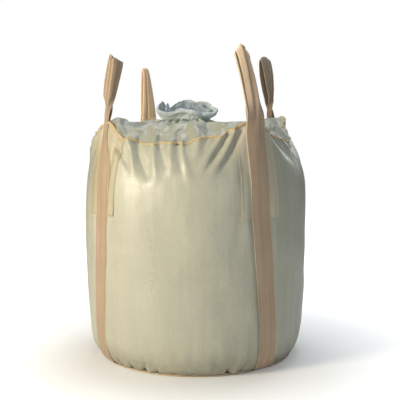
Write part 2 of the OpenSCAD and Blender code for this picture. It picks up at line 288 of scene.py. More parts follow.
class Nodes:
    """Short names for making shader nodes."""

    def __init__(self, tree):
        self.t = tree

    def n(self, kind, **kw):
        x = self.t.nodes.new(kind)
        for k, v in kw.items():
            setattr(x, k, v)
        return x

    def link(self, a, b):
        self.t.links.new(a, b)

    def put(self, socket, v):
        if isinstance(v, bpy.types.NodeSocket):
            self.link(v, socket)
        elif isinstance(v, (tuple, list)) and socket.type == "RGBA" and len(v) == 3:
            socket.default_value = (*v, 1)
        else:
            socket.default_value = v

    def math(self, op, a, b=0.0, c=0.0, clamp=False):
        x = self.n("ShaderNodeMath", operation=op, use_clamp=clamp)
        for s, v in zip(x.inputs, (a, b, c)):
            self.put(s, v)
        return x.outputs[0]

    def mix(self, f, a, b, blend="MIX"):
        x = self.n("ShaderNodeMix", data_type="RGBA", blend_type=blend)
        self.put(x.inputs[0], f)
        self.put(x.inputs[6], a)
        self.put(x.inputs[7], b)
        return x.outputs[2]

    def span(self, v, a, b, c=0.0, d=1.0, kind="LINEAR"):
        x = self.n("ShaderNodeMapRange", interpolation_type=kind, clamp=True)
        for s, q in zip(x.inputs, (v, a, b, c, d)):
            self.put(s, q)
        return x.outputs[0]

    def noise(self, vec, scale, detail=3.0, rough=0.5, dist=0.0, dims="3D"):
        x = self.n("ShaderNodeTexNoise", noise_dimensions=dims)
        self.put(x.inputs["Vector"], vec)
        x.inputs["Scale"].default_value = scale
        x.inputs["Detail"].default_value = detail
        x.inputs["Roughness"].default_value = rough
        x.inputs["Distortion"].default_value = dist
        return x.outputs["Fac"]

    def vec(self, x, y, z=0.0):
        c = self.n("ShaderNodeCombineXYZ")
        for s, v in zip(c.inputs, (x, y, z)):
            self.put(s, v)
        return c.outputs[0]

    def split(self, v):
        s = self.n("ShaderNodeSeparateXYZ")
        self.link(v, s.inputs[0])
        return s.outputs

    def coords(self):
        t = self.n("ShaderNodeTexCoord")
        return t.outputs["UV"], t.outputs["Object"]

    def attr(self, name):
        return self.n("ShaderNodeAttribute", attribute_name=name).outputs["Fac"]

    def bump(self, height, distance, strength=1.0, normal=None):
        b = self.n("ShaderNodeBump")
        b.inputs["Distance"].default_value = distance
        b.inputs["Strength"].default_value = strength
        self.put(b.inputs["Height"], height)
        if normal is not None:
            self.link(normal, b.inputs["Normal"])
        return b.outputs[0]

    def finish(self, colour, rough, normal=None, spec=0.35, sheen=0.0, coat=0.0, through=None, alpha=None, trans=0.0):
        p = self.n("ShaderNodeBsdfPrincipled")
        self.put(p.inputs["Base Color"], colour)
        self.put(p.inputs["Roughness"], rough)
        p.inputs["Specular IOR Level"].default_value = spec
        p.inputs["Sheen Weight"].default_value = sheen
        p.inputs["Sheen Roughness"].default_value = 0.5
        p.inputs["Coat Weight"].default_value = coat
        p.inputs["Coat Roughness"].default_value = 0.3
        if normal is not None:
            self.link(normal, p.inputs["Normal"])
        shader = p.outputs[0]
        if through is not None:
            tr = self.n("ShaderNodeBsdfTranslucent")
            self.put(tr.inputs[0], colour)
            if normal is not None:
                self.link(normal, tr.inputs["Normal"])
            mx = self.n("ShaderNodeMixShader")
            self.put(mx.inputs[0], through)
            self.link(shader, mx.inputs[1])
            self.link(tr.outputs[0], mx.inputs[2])
            shader = mx.outputs[0]
        out = self.n("ShaderNodeOutputMaterial")
        self.link(shader, out.inputs[0])


def srgb(r, g, b):
    return tuple((x / 255 / 12.92) if x / 255 <= 0.04045 else ((x / 255 + 0.055) / 1.055) ** 2.4 for x in (r, g, b))


def woven(name, light, dark, streak=1.0, tape=0.0024, grime=0.0, rough=0.5, through=0.06, wear=0.25):
    """Flat-tape plain weave with a thin coating: tapes, streaks along the warp, blotches, soft creases."""
    m, t = material(name)
    k = Nodes(t)
    uv, ob = k.coords()
    u, v, _ = k.split(uv)
    su = k.math("SINE", k.math("MULTIPLY", u, pi / tape))
    sv = k.math("SINE", k.math("MULTIPLY", v, pi / tape))
    weave = k.math("MULTIPLY", su, sv)
    warp = k.noise(k.vec(k.math("MULTIPLY", u, 1 / (tape * 2.5)), k.math("MULTIPLY", v, 1.6)), 1.0, 3.0, 0.6)
    weft = k.noise(k.vec(k.math("MULTIPLY", u, 2.2), k.math("MULTIPLY", v, 1 / (tape * 2.5)), 5.0), 1.0, 2.0, 0.55)
    bands = k.noise(k.vec(k.math("MULTIPLY", u, 26.0), k.math("MULTIPLY", v, 0.8), 2.0), 1.0, 4.0, 0.6)
    blotch = k.noise(ob, 3.2, 4.0, 0.6)
    fine = k.noise(ob, 38.0, 5.0, 0.65)
    f = k.math("ADD", k.math("MULTIPLY", k.span(bands, 0.3, 0.7), 0.35 * streak),
               k.math("ADD", k.math("MULTIPLY", k.span(warp, 0.35, 0.65), 0.22 * streak),
                      k.math("ADD", k.math("MULTIPLY", k.span(weft, 0.35, 0.65), 0.10),
                             k.math("ADD", k.math("MULTIPLY", k.span(blotch, 0.3, 0.7), 0.30),
                                    k.math("MULTIPLY", k.span(fine, 0.3, 0.7), 0.10)))))
    colour = k.mix(f, light, dark)
    colour = k.mix(k.math("MULTIPLY", k.span(weave, -0.9, -0.2, 1.0, 0.0), 0.10), colour, tuple(x * 0.55 for x in dark))
    if grime:
        z = k.split(ob)[2]
        spots = k.noise(ob, 22.0, 6.0, 0.7)
        low = k.math("MULTIPLY", k.span(z, 0.0, 0.16, 1.0, 0.0, "SMOOTHSTEP"), k.span(spots, 0.35, 0.75, 0.25, 1.0))
        colour = k.mix(k.math("MULTIPLY", low, grime), colour, srgb(120, 104, 78))
    scuff = k.math("MULTIPLY", k.span(k.noise(ob, 9.0, 8.0, 0.72, 0.6), 0.56, 0.72), wear)
    colour = k.mix(scuff, colour, tuple(min(1, x * 1.12 + 0.02) for x in light))
    wrinkle = k.noise(k.vec(k.math("MULTIPLY", u, 1.0), k.math("MULTIPLY", v, 0.7)), 22.0, 6.0, 0.62, 0.9)
    crinkle = k.math("ABSOLUTE", k.math("SUBTRACT", k.noise(ob, 30.0, 3.0, 0.5, 0.7), 0.5))
    b = k.bump(k.math("ADD", wrinkle, k.math("MULTIPLY", crinkle, 0.7)), 0.0035, 0.55)
    b = k.bump(k.math("ADD", weave, k.math("MULTIPLY", warp, 0.8)), 0.00018, 0.8, b)
    sheen = k.math("ADD", k.span(fine, 0.3, 0.7, rough - 0.06, rough + 0.06), k.math("ADD", k.span(k.noise(ob, 5.0, 3.0, 0.55), 0.35, 0.65, -0.05, 0.10), k.span(bands, 0.35, 0.65, -0.03, 0.06)))
    k.finish(colour, sheen, b, 1.0, 0.0, 0.18, through)
    return m


def webbing(name, light, dark, edge):
    """Tape webbing: ribs along its length, a cross pick, pale selvedges and worn fibres."""
    m, t = material(name)
    k = Nodes(t)
    uv, ob = k.coords()
    u, v, _ = k.split(uv)
    # the point attribute read here scales the colour's brightness: painted light and shade on the straps
    painted_shading = k.attr("painted_shading")
    rib = k.math("SINE", k.math("MULTIPLY", u, 2 * pi / 0.0042))
    pick = k.math("SINE", k.math("MULTIPLY", v, 2 * pi / 0.0034))
    weave = k.math("MULTIPLY", rib, k.math("ADD", 0.65, k.math("MULTIPLY", pick, 0.35)))
    lines = k.noise(k.vec(k.math("MULTIPLY", u, 210.0), k.math("MULTIPLY", v, 1.3), 1.0), 1.0, 3.0, 0.6)
    broad = k.noise(k.vec(k.math("MULTIPLY", u, 55.0), k.math("MULTIPLY", v, 0.9), 4.0), 1.0, 3.0, 0.55)
    patchy = k.noise(ob, 7.0, 5.0, 0.62)
    f = k.math("ADD", k.math("MULTIPLY", k.span(lines, 0.32, 0.68), 0.4),
               k.math("ADD", k.math("MULTIPLY", k.span(broad, 0.3, 0.7), 0.35),
                      k.math("MULTIPLY", k.span(patchy, 0.3, 0.7), 0.25)))
    colour = k.mix(f, light, dark)
    colour = k.mix(k.math("MULTIPLY", k.span(weave, -0.9, -0.2, 1.0, 0.0), 0.16), colour, tuple(x * 0.5 for x in dark))
    au = k.math("ABSOLUTE", u)
    selvedge = k.math("MULTIPLY", k.span(au, 0.0455, 0.0472), 0.75)
    colour = k.mix(selvedge, colour, edge)
    # a dark line just inside each selvedge: painted shade in a groove
    groove = k.math("MULTIPLY", k.span(k.math("ABSOLUTE", k.math("SUBTRACT", au, 0.0445)), 0.0, 0.0012, 1.0, 0.0), 0.35)
    colour = k.mix(groove, colour, tuple(x * 0.45 for x in dark))
    fuzz = k.noise(ob, 120.0, 4.0, 0.7)
    colour = k.mix(k.math("MULTIPLY", k.span(fuzz, 0.55, 0.75), 0.18), colour, edge)
    hsv = k.n("ShaderNodeHueSaturation")
    k.put(hsv.inputs["Color"], colour)
    k.put(hsv.inputs["Value"], painted_shading)
    b = k.bump(k.math("ADD", broad, k.math("MULTIPLY", patchy, 0.8)), 0.003, 0.45)
    b = k.bump(k.math("ADD", weave, k.math("MULTIPLY", fuzz, 0.6)), 0.0004, 0.9, b)
    k.finish(hsv.outputs[0], k.span(fuzz, 0.3, 0.7, 0.5, 0.68), b, 0.3, 0.15)
    return m


def film(name, light, dark, through, rough=0.34, coat=0.25, scale=1.0):
    """Crumpled film or coated cloth: sharp creases, pale stress lines, soft gloss."""
    m, t = material(name)
    k = Nodes(t)
    _, ob = k.coords()
    big = k.noise(ob, 16.0 * scale, 5.0, 0.6, 0.4)
    ridge = k.math("ABSOLUTE", k.math("SUBTRACT", k.noise(ob, 34.0 * scale, 5.0, 0.55, 1.2), 0.5))
    ridge2 = k.math("ABSOLUTE", k.math("SUBTRACT", k.noise(ob, 95.0 * scale, 3.0, 0.5, 0.8), 0.5))
    colour = k.mix(k.span(big, 0.32, 0.68), light, dark)
    colour = k.mix(k.math("MULTIPLY", k.span(ridge, 0.0, 0.035, 1.0, 0.0), 0.45), colour,
                   tuple(min(1, x * 1.15 + 0.05) for x in light))
    colour = k.mix(k.math("MULTIPLY", k.span(k.noise(ob, 60.0 * scale, 3.0), 0.6, 0.72), 0.35), colour,
                   tuple(x * 0.6 for x in dark))
    h = k.math("ADD", k.math("MULTIPLY", ridge, 1.6), k.math("MULTIPLY", ridge2, 0.5))
    b = k.bump(h, 0.006, 0.8)
    k.finish(colour, k.span(big, 0.3, 0.7, rough, rough + 0.18), b, 0.5, 0.0, coat, through)
    return m


def thread(name, light, dark, pitch=0.004, rough=0.55):
    """Sewing cord, twine or bound tape: twisted fibres and uneven dye."""
    m, t = material(name)
    k = Nodes(t)
    _, ob = k.coords()
    x, y, z = k.split(ob)
    twist = k.math("SINE", k.math("MULTIPLY", k.math("ADD", k.math("ADD", x, y), k.math("MULTIPLY", z, 1.4)), 2 * pi / pitch))
    mott = k.noise(ob, 46.0, 5.0, 0.65)
    wide = k.noise(ob, 9.0, 3.0, 0.5)
    f = k.math("ADD", k.math("MULTIPLY", k.span(mott, 0.3, 0.7), 0.55), k.math("MULTIPLY", k.span(wide, 0.35, 0.65), 0.45))
    colour = k.mix(f, light, dark)
    colour = k.mix(k.math("MULTIPLY", k.span(twist, -1.0, -0.3, 1.0, 0.0), 0.3), colour, tuple(c * 0.6 for c in dark))
    b = k.bump(k.math("ADD", twist, mott), 0.0005, 0.8)
    k.finish(colour, k.span(mott, 0.3, 0.7, rough - 0.05, rough + 0.12), b, 0.3, 0.2)
    return m


def grains(name):
    """Loose granules seen as a packed surface."""
    m, t = material(name)
    k = Nodes(t)
    _, ob = k.coords()
    vor = k.n("ShaderNodeTexVoronoi")
    vor.inputs["Scale"].default_value = 220
    k.link(ob, vor.inputs["Vector"])
    lump = k.noise(ob, 14.0, 4.0)
    colour = k.mix(k.span(vor.outputs["Distance"], 0.1, 0.7), srgb(214, 198, 160), srgb(150, 132, 96))
    colour = k.mix(k.math("MULTIPLY", k.span(lump, 0.35, 0.65), 0.4), colour, srgb(186, 168, 128))
    k.finish(colour, 0.8, k.bump(k.math("SUBTRACT", 1.0, vor.outputs["Distance"]), 0.003, 0.9), 0.2)
    return m


CLOTH = woven("woven_cloth", srgb(213, 211, 189), srgb(180, 179, 158), 0.62, grime=0.5, rough=0.36)
# a darker, greyer copy of the cloth for the top panel: painted shade, since the top faces the lights from above
TOPCLOTH = woven("coated_top_cloth_shaded", srgb(200, 200, 178), srgb(146, 148, 128), 0.6, rough=0.42, through=0.08, wear=0.4)
BASECLOTH = woven("base_cloth", srgb(206, 192, 154), srgb(170, 154, 118), 0.8, grime=0.7)
PATCH = woven("patch_cloth", srgb(232, 224, 200), srgb(204, 194, 168), 0.9, rough=0.5)
# a darker copy of the patch cloth, used on the front-left patch: painted shade
PATCH_SHADED = woven("patch_cloth_shaded", srgb(204, 195, 163), srgb(176, 166, 134), 0.9, rough=0.5)
WEB = webbing("webbing", srgb(222, 196, 166), srgb(180, 152, 126), srgb(240, 222, 188))
SKIRT = film("spout_cloth", srgb(222, 226, 214), srgb(132, 134, 104), 0.10, 0.4, 0.1, 0.8)
MOUTH_FILM = film("spout_film", srgb(246, 250, 242), srgb(190, 204, 208), 0.16)
LINER = film("liner_film", srgb(226, 234, 238), srgb(176, 192, 204), 0.4, 0.22, 0.4, 1.3)
BIND = thread("binding", srgb(238, 216, 172), srgb(208, 172, 120), 0.006)
LOOPTHREAD = thread("loop_thread", srgb(214, 188, 150), srgb(184, 156, 120), 0.003)
PALEBIND = thread("pale_binding", srgb(206, 208, 192), srgb(164, 166, 146), 0.005)
STITCH = thread("sewing_cord", srgb(232, 216, 178), srgb(204, 182, 138), 0.003)
TWINE = thread("tie_twine", srgb(232, 228, 216), srgb(196, 190, 172), 0.005)
FILL = grains("bulk_granules")

# ------------------------------------------------------------------ the bag's surface
_lo, _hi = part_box("side_wall")
RS, ZS = _hi.y / 0.540, _hi.z / 1.100
CORNERS = [42.0, 138.0, -138.0, -42.0]
NAMES = ["front_right", "back_right", "back_left", "front_left"]
DRIFT = [8.0, -3.0, 3.0, -7.0]
WALL = np.array([
    # radius, height, share of the rim's own radius, share of its own height
    [0.436, 0.0032, 0, 0], [0.470, 0.013, 0, 0], [0.496, 0.045, 0, 0], [0.515, 0.100, 0, 0],
    [0.526, 0.180, 0, 0], [0.533, 0.300, 0, 0], [0.538, 0.450, 0, 0], [0.540, 0.590, 0, 0],
    [0.540, 0.700, 0, 0], [0.534, 0.820, 0.06, 0.05], [0.516, 0.898, 0.18, 0.2],
    [0.487, 0.963, 0.45, 0.56], [0.445, 1.025, 1, 1]])
_t = catmull(WALL, 20)
_t[:, 0] *= RS
_t[:, 1] *= ZS
_t[:, 2:] = np.clip(_t[:, 2:], 0, 1)
_s = np.concatenate([[0], np.cumsum(np.linalg.norm(np.diff(_t[:, :2], axis=0), axis=1))])
ARC = _s[-1]
T_OF = _s / ARC
RIM_Z = [(-180, 1.064), (-170, 1.054), (-160, 1.062), (-152, 1.092), (-146, 1.118), (-140, 1.148), (-136, 1.150),
         (-132, 1.128), (-126, 1.090), (-118, 1.072), (-105, 1.067), (-90, 1.077), (-75, 1.084), (-62, 1.086),
         (-54, 1.104), (-47, 1.127), (-42, 1.137), (-38, 1.106), (-34, 1.070), (-31, 1.052), (-29, 1.070), (-26, 1.058),
         (-21, 1.041), (-16, 1.039), (-11, 1.043), (-7, 1.046), (1, 1.044), (6, 1.042), (9, 1.060), (13.6, 1.068),
         (19, 1.073), (25, 1.076), (28, 1.101), (31.4, 1.108), (36, 1.130), (42, 1.140), (47, 1.120), (52, 1.098),
         (57, 1.078), (63, 1.062), (72, 1.046), (80, 1.044), (90, 1.054), (105, 1.064), (115, 1.078), (121, 1.098),
         (125, 1.132), (128, 1.158), (131, 1.162), (134, 1.146), (138, 1.138), (146, 1.118), (152, 1.092), (160, 1.060),
         (170, 1.067)]
RIM_R = [(-180, 0.447), (-160, 0.450), (-150, 0.470), (-138, 0.496), (-126, 0.487), (-110, 0.480), (-90, 0.484),
         (-70, 0.486), (-54, 0.490), (-42, 0.498), (-34, 0.484), (-28, 0.468), (-20, 0.456), (0, 0.448), (20, 0.456),
         (28, 0.468), (35, 0.484), (42, 0.498), (50, 0.488), (62, 0.466), (75, 0.455), (90, 0.452), (105, 0.453),
         (116, 0.470), (124, 0.497), (129, 0.512), (134, 0.508), (138, 0.500), (146, 0.480), (155, 0.460), (170, 0.448)]


def rim(phi):
    return ring_interp(RIM_R, phi) * RS, ring_interp(RIM_Z, phi) * ZS / 1.0318


def wrap(a):
    return (np.asarray(a, float) + 180) % 360 - 180


def belt_angle(i, z):
    return CORNERS[i] + DRIFT[i] * np.maximum(0, 1 - z / (0.72 * ZS))


# Folds as (points of (angle, height), depth at the start, depth at the end, half-width): plus is a ridge.
FOLDS = [
    ([(-50.2, 1.105), (-43.6, 1.056), (-32.0, 0.991), (-23.9, 0.914), (-20, 0.86)], 0.010, 0.004, 0.016),
    ([(-40.5, 1.075), (-37, 1.035), (-32.0, 1.000), (-24.5, 0.936), (-21, 0.89)], -0.020, -0.007, 0.011),
    ([(-29.8, 1.075), (-27.5, 1.04), (-25.2, 1.014), (-21.8, 0.928), (-20, 0.87)], 0.018, 0.005, 0.012),
    ([(-24.6, 1.050), (-22, 1.00), (-19.6, 0.972), (-14.6, 0.913), (-11, 0.86)], -0.022, -0.007, 0.014),
    ([(-13.8, 1.045), (-11.7, 0.982), (-9.7, 0.905), (-9, 0.85)], 0.014, 0.004, 0.014),
    ([(-10.3, 1.030), (-6.6, 0.974), (-3.3, 0.923)], -0.009, -0.003, 0.011),
    ([(-3.8, 1.045), (-2.8, 0.985), (-1.9, 0.932), (-1.6, 0.88)], 0.009, 0.003, 0.013),
    ([(-0.3, 1.045), (1.6, 0.983), (3.0, 0.941), (4, 0.90)], -0.009, -0.002, 0.009),
    ([(2.2, 1.040), (4.2, 0.975), (6.0, 0.912), (7, 0.86)], 0.011, 0.003, 0.012),
    ([(24.7, 1.080), (19.2, 1.017), (14.2, 0.954), (10, 0.89)], 0.012, 0.003, 0.013),
    ([(28.2, 1.095), (21.7, 1.009), (16.1, 0.945), (12, 0.90)], -0.015, -0.003, 0.010),
    ([(30.6, 1.100), (25.0, 1.008), (20.1, 0.953), (16, 0.88)], 0.014, 0.004, 0.012),
    ([(33.9, 1.100), (31, 1.05), (28.3, 1.008), (23.8, 0.95), (21, 0.90)], -0.014, -0.004, 0.011),
    ([(12, 1.065), (11, 1.02), (11, 0.97)], 0.006, 0.002, 0.014),
    ([(17, 1.07), (15, 1.04), (13, 1.01)], -0.006, -0.002, 0.010),
    # beside the right rim and the ear
    ([(55, 1.08), (62, 1.02), (70, 0.97), (76, 0.92)], -0.014, -0.003, 0.014),
    ([(52, 1.08), (58, 1.00), (64, 0.93)], 0.010, 0.002, 0.016),
    ([(66, 1.06), (74, 1.01), (84, 0.96)], 0.012, 0.003, 0.013),
    ([(78, 1.04), (88, 0.985), (96, 0.94)], -0.009, -0.002, 0.013),
    ([(124, 1.12), (116, 1.04), (108, 0.97), (102, 0.92)], -0.016, -0.003, 0.013),
    ([(120, 1.09), (110, 1.02), (102, 0.95)], 0.011, 0.002, 0.014),
    ([(128, 1.14), (122, 1.05), (116, 0.96)], 0.010, 0.002, 0.014),
]
# Short creases that rise from the base.
CREASES = [
    ([(-36.5, 0.0), (-37.5, 0.05), (-38.5, 0.10)], -0.016, -0.002, 0.008), ([(-33.5, 0.0), (-33, 0.05), (-33, 0.09)], 0.006, 0.001, 0.010),
    ([(-29, 0.0), (-27.5, 0.035), (-26, 0.07)], -0.012, -0.001, 0.007), ([(-21, 0.0), (-18, 0.035), (-15.5, 0.075)], -0.014, -0.001, 0.007),
    ([(-17, 0.0), (-14, 0.03), (-12, 0.05)], 0.006, 0.001, 0.009), ([(-12.5, 0.0), (-11, 0.025), (-10, 0.05)], -0.008, -0.001, 0.006),
    ([(-2, 0.0), (-1, 0.03)], -0.005, -0.001, 0.006), ([(9, 0.0), (8, 0.03)], -0.006, -0.001, 0.006),
    ([(28, 0.0), (27.2, 0.03), (26.5, 0.055)], -0.018, -0.001, 0.007), ([(35, 0.0), (37.5, 0.05), (40, 0.10)], -0.009, -0.002, 0.009),
    ([(31.5, 0.0), (32, 0.04), (34, 0.09), (36, 0.14)], 0.007, 0.001, 0.012),
]


def _more_folds():
    g = np.random.default_rng(21)
    out = []
    for c, spans in ((138.0, [1]), (-138.0, [-1, 1]), (-42.0, [-1])):
        for s in spans:
            for k, (a0, a1, z1) in enumerate([(8, 17, 0.93), (12, 26, 0.96), (17, 34, 0.99), (24, 41, 1.00)]):
                j = g.uniform(-1.5, 1.5)
                top = c + s * (a0 + j)
                end = c + s * (a1 + 2 * j)
                depth = (0.012, -0.015, 0.010, -0.010)[k] * g.uniform(0.8, 1.15)
                zt = 1.13 - 0.0036 * a0
                out.append(([(top, zt), ((top + end) / 2 - s, (zt + z1) / 2 - 0.01), (end, z1)], depth, depth * 0.25, g.uniform(0.010, 0.015)))
    for side, half in ((90.0, 22), (180.0, 26), (-90.0, 24)):
        for k in range(7):
            a = side - half + (k + g.uniform(0.2, 0.8)) * 2 * half / 7
            depth = (-1) ** k * g.uniform(0.005, 0.009)
            out.append(([(a, 1.06), (a + g.uniform(-2, 2), 0.99), (a + g.uniform(-4, 4), g.uniform(0.88, 0.95))], depth, depth * 0.2, g.uniform(0.009, 0.015)))
    low = []
    for a in np.arange(52, 318, 8.3):
        if min(abs(wrap(a - (CORNERS[i] + DRIFT[i]))) for i in range(4)) < 8:
            continue
        a = a + g.uniform(-2.5, 2.5)
        depth = g.choice([-0.011, -0.007, 0.006])
        low.append(([(wrap(a), 0.0), (wrap(a + g.uniform(-2, 2)), g.uniform(0.035, 0.08))], depth, depth * 0.1, g.uniform(0.006, 0.009)))
    return out, low


_a, _b = _more_folds()
FOLDS += _a
CREASES += _b
# Cloth bulging past each belt's edges: (angle side -1, angle side +1).
BULGE = [(0.007, 0.007), (0.008, 0.008), (0.008, 0.008), (0.006, 0.016)]


def line_depth(phi, z, lines, fade_top):
    out = np.zeros(np.broadcast(phi, z).shape)
    for pts, d0, d1, w in lines:
        p = catmull(pts, 6) if len(pts) > 2 else np.array(pts, float)
        a0 = p[:, 0].mean()
        x, y = wrap(phi - a0), z
        near = (np.abs(x) < 26) & (y > p[:, 1].min() - 5 * w) & (y < p[:, 1].max() + 5 * w)
        if not near.any():
            continue
        X = np.stack([np.radians(x[near]) * 0.5, y[near]], -1)
        Q = np.stack([np.radians(p[:, 0] - a0) * 0.5, p[:, 1]], -1)
        best = np.full(len(X), 1e9)
        frac = np.zeros(len(X))
        L = np.concatenate([[0], np.cumsum(np.linalg.norm(np.diff(Q, axis=0), axis=1))])
        for i in range(len(Q) - 1):
            e = Q[i + 1] - Q[i]
            k = np.clip(((X - Q[i]) @ e) / (e @ e), 0, 1)
            d = np.linalg.norm(X - Q[i] - k[:, None] * e, axis=1)
            closer = d < best
            best = np.where(closer, d, best)
            frac = np.where(closer, (L[i] + k * (L[i + 1] - L[i])) / L[-1], frac)
        depth = (d0 + (d1 - d0) * frac) * (1 - smooth(0.72, 1.0, frac))
        width = w * (1 + 0.7 * frac)
        shape = np.exp(-((best / width) ** 2)) if d0 > 0 else np.exp(-((best / width) ** 1.6))
        out[near] += depth * shape
    return out


def ripple(phi, z):
    """How far the cloth stands off its smooth shape, in metres."""
    phi, z = np.broadcast_arrays(np.asarray(phi, float), np.asarray(z, float))
    a = np.radians(phi)
    P = np.stack([0.54 * np.sin(a), -0.54 * np.cos(a), z], -1)
    folds = line_depth(phi, z, FOLDS, True) + line_depth(phi, z, CREASES, False)
    soft = 0.0036 * waves(P, 0.42, 3) + 0.0021 * waves(P * [1, 1, 0.6], 0.17, 4)
    for a0, z0, sa0, sz0, amp in ((15, 0.80, 9, 0.07, -0.007), (3, 0.50, 8, 0.17, 0.005), (-24, 0.76, 10, 0.13, 0.004), (27, 0.33, 8, 0.10, -0.004),
                                  (100, 0.62, 12, 0.12, -0.006), (178, 0.55, 12, 0.15, 0.005), (-92, 0.5, 11, 0.14, -0.005)):
        soft += amp * np.exp(-(wrap(phi - a0) / sa0) ** 2 - ((z - z0) / sz0) ** 2)
    soft += 0.0007 * creases(P * [1, 1, 0.6], 0.11, 14, 6) * smooth(0.03, 0.12, z) * (1 - smooth(1.0, 1.08, z)) * (0.6 + 0.6 * waves(P, 0.26, 10))
    soft += 0.0012 * waves(P * [1, 1, 0.35], 0.07, 6) * (0.45 + 0.75 * smooth(0.80, 1.0, z) + 0.9 * (1 - smooth(0.05, 0.22, z)))
    # faint diagonal pulls that run to the belts
    pull = creases(np.stack([a * 0.54 + 0.35 * np.abs(wrap(phi - 2)) / 57.3 * 0.54, 0 * a, 0.55 * z], -1), 0.09, 8, 5)
    soft += 0.0014 * pull * smooth(0.06, 0.2, z) * (1 - smooth(0.95, 1.05, z)) * (0.5 + 0.5 * waves(P, 0.3, 9))
    soft *= smooth(0.0, 0.05, z)
    full = 0.012 * np.exp(-(wrap(phi + 78) / 24) ** 2) * np.exp(-((z - 1.03) / 0.05) ** 2)
    env = smooth(0.02, 0.14, z) * (1 - 0.65 * smooth(0.72, 0.86, z)) * (1 - smooth(0.98, 1.09, z))
    bulge = np.zeros(phi.shape)
    mask = np.ones(phi.shape)
    for i in range(4):
        x = np.radians(wrap(phi - belt_angle(i, z))) * 0.53
        edge = np.abs(x) - 0.050
        amount = np.where(x > 0, BULGE[i][1], BULGE[i][0])
        rise = smooth(-0.004, 0.022, edge) * (0.55 + 0.45 * np.exp(-np.clip(edge - 0.02, 0, None) / 0.09))
        bulge += amount * rise * (1 - smooth(0.13, 0.34, edge))
        mask = np.minimum(mask, smooth(-0.006, 0.020, edge))
        if i == 3:
            groove = 0.010 * np.exp(-((x - 0.051) / 0.008) ** 2) * smooth(0.06, 0.14, z) * (1 - smooth(1.0, 1.06, z))
            bulge -= groove * 0.8
            bulge += 0.006 * np.exp(-((x - 0.072) / 0.012) ** 2) * smooth(0.06, 0.14, z) * (1 - smooth(0.9, 1.0, z))
    keep = 0.10 + 0.90 * mask
    return folds * keep + soft * (0.3 + 0.7 * mask) + full + (bulge + 0.002) * env - 0.003 * env


def surface(phi, t, off=0.0, smooth_only=False, extra=None):
    """Points of the cloth at angles phi and shares t of the way from base to rim."""
    phi, t = np.broadcast_arrays(np.asarray(phi, float), np.asarray(t, float))
    rr, rz = rim(phi)

    def at(tt):
        c = [np.interp(tt, T_OF, _t[:, i]) for i in range(4)]
        return c[0] + c[2] * (rr - _t[-1, 0]), c[1] + c[3] * (rz - _t[-1, 1])

    r, z = at(t)
    h = 0.004
    r1, z1 = at(np.minimum(t + h, 1))
    r0, z0 = at(np.maximum(t - h, 0))
    n = np.stack([z1 - z0, -(r1 - r0)], -1)
    n /= np.linalg.norm(n, axis=-1, keepdims=True)
    d = off + (0 if smooth_only else ripple(phi, z)) + (0 if extra is None else extra)
    lowest = 0.0012
    r, z = r + d * n[..., 0], np.maximum(z + d * n[..., 1], lowest)
    a = np.radians(phi)
    return np.stack([r * np.sin(a), -r * np.cos(a), z], -1)


def height(phi, t):
    c = [np.interp(t, T_OF, _t[:, i]) for i in (1, 3)]
    return c[0] + c[1] * (rim(phi)[1] - _t[-1, 1])


def stations(n, dense=((0.0, 0.06, 3.0), (0.80, 1.0, 2.2))):
    x = np.linspace(0, 1, 4001)
    w = np.ones_like(x)
    for a, b, k in dense:
        w += (k - 1) * smooth(a - 0.06, a, x) * (1 - smooth(b, b + 0.06, x))
    c = np.concatenate([[0], np.cumsum((w[1:] + w[:-1]) / 2)])
    return np.interp(np.linspace(0, c[-1], n), c, x)


def angles(n):
    x = np.linspace(-180, 180, 7201)
    w = 1 + 0.9 * np.exp(-((x - 0) / 62) ** 4)
    for i in range(4):
        w += 0.8 * np.exp(-(wrap(x - CORNERS[i] - DRIFT[i] * 0.4) / 11) ** 4)
    c = np.concatenate([[0], np.cumsum((w[1:] + w[:-1]) / 2)])
    return np.interp(np.arange(n) / n * c[-1], c, x)


def drape(P, pin, grow, frames, cap, seed=1, bend=0.4):
    """Cloth simulation of a closed grid that is a little too large for its held edges, so that it buckles into
    wrinkles. pin is 1 where a row is held. Returns how far each point moved, capped."""
    m, n = P.shape[:2]
    me = bpy.data.meshes.new("draping")
    me.from_pydata(P.reshape(-1, 3).tolist(), [], [list(map(int, f)) for f in faces_of(m, n, True)])
    o = bpy.data.objects.new("draping", me)
    SC.collection.objects.link(o)
    group = o.vertex_groups.new(name="held")
    for row in range(m):
        if pin[row] > 0:
            group.add(list(range(row * n, (row + 1) * n)), float(pin[row]), "REPLACE")
    md = o.modifiers.new("cloth", "CLOTH")
    st = md.settings
    st.quality, st.mass, st.air_damping = 5, 0.15, 4.0
    st.tension_stiffness = st.compression_stiffness = 20
    st.shear_stiffness, st.bending_stiffness = 8, bend
    st.vertex_group_mass = "held"
    st.shrink_min = -grow
    st.effector_weights.gravity = 0
    md.collision_settings.use_collision = False
    md.collision_settings.use_self_collision = False
    md.point_cache.frame_start, md.point_cache.frame_end = 1, frames
    for f in range(1, frames + 1):
        SC.frame_set(f)
    ev = o.evaluated_get(bpy.context.evaluated_depsgraph_get())
    got = ev.to_mesh()
    co = np.empty(len(got.vertices) * 3, np.float32)
    got.vertices.foreach_get("co", co)
    ev.to_mesh_clear()
    bpy.data.objects.remove(o)
    bpy.data.meshes.remove(me)
    SC.frame_set(1)
    D = co.reshape(P.shape).astype(float) - P
    D = np.nan_to_num(D)
    size = np.linalg.norm(D, axis=-1, keepdims=True)
    return D * cap * np.tanh(size / cap) / np.maximum(size, 1e-9)


# ------------------------------------------------------------------ body cloth
PHI = angles(452)
TT = stations(206)
body_P = surface(PHI[None], TT[:, None])
U = np.broadcast_to(np.radians(np.append(PHI, 180.0)) * 0.54, (len(TT), len(PHI) + 1))
V = np.broadcast_to((TT * ARC)[:, None], U.shape)
body_cloth = grid("side_cloth", body_P, CLOTH, True, U, V)
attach(body_cloth, "bag")
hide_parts("side_wall")

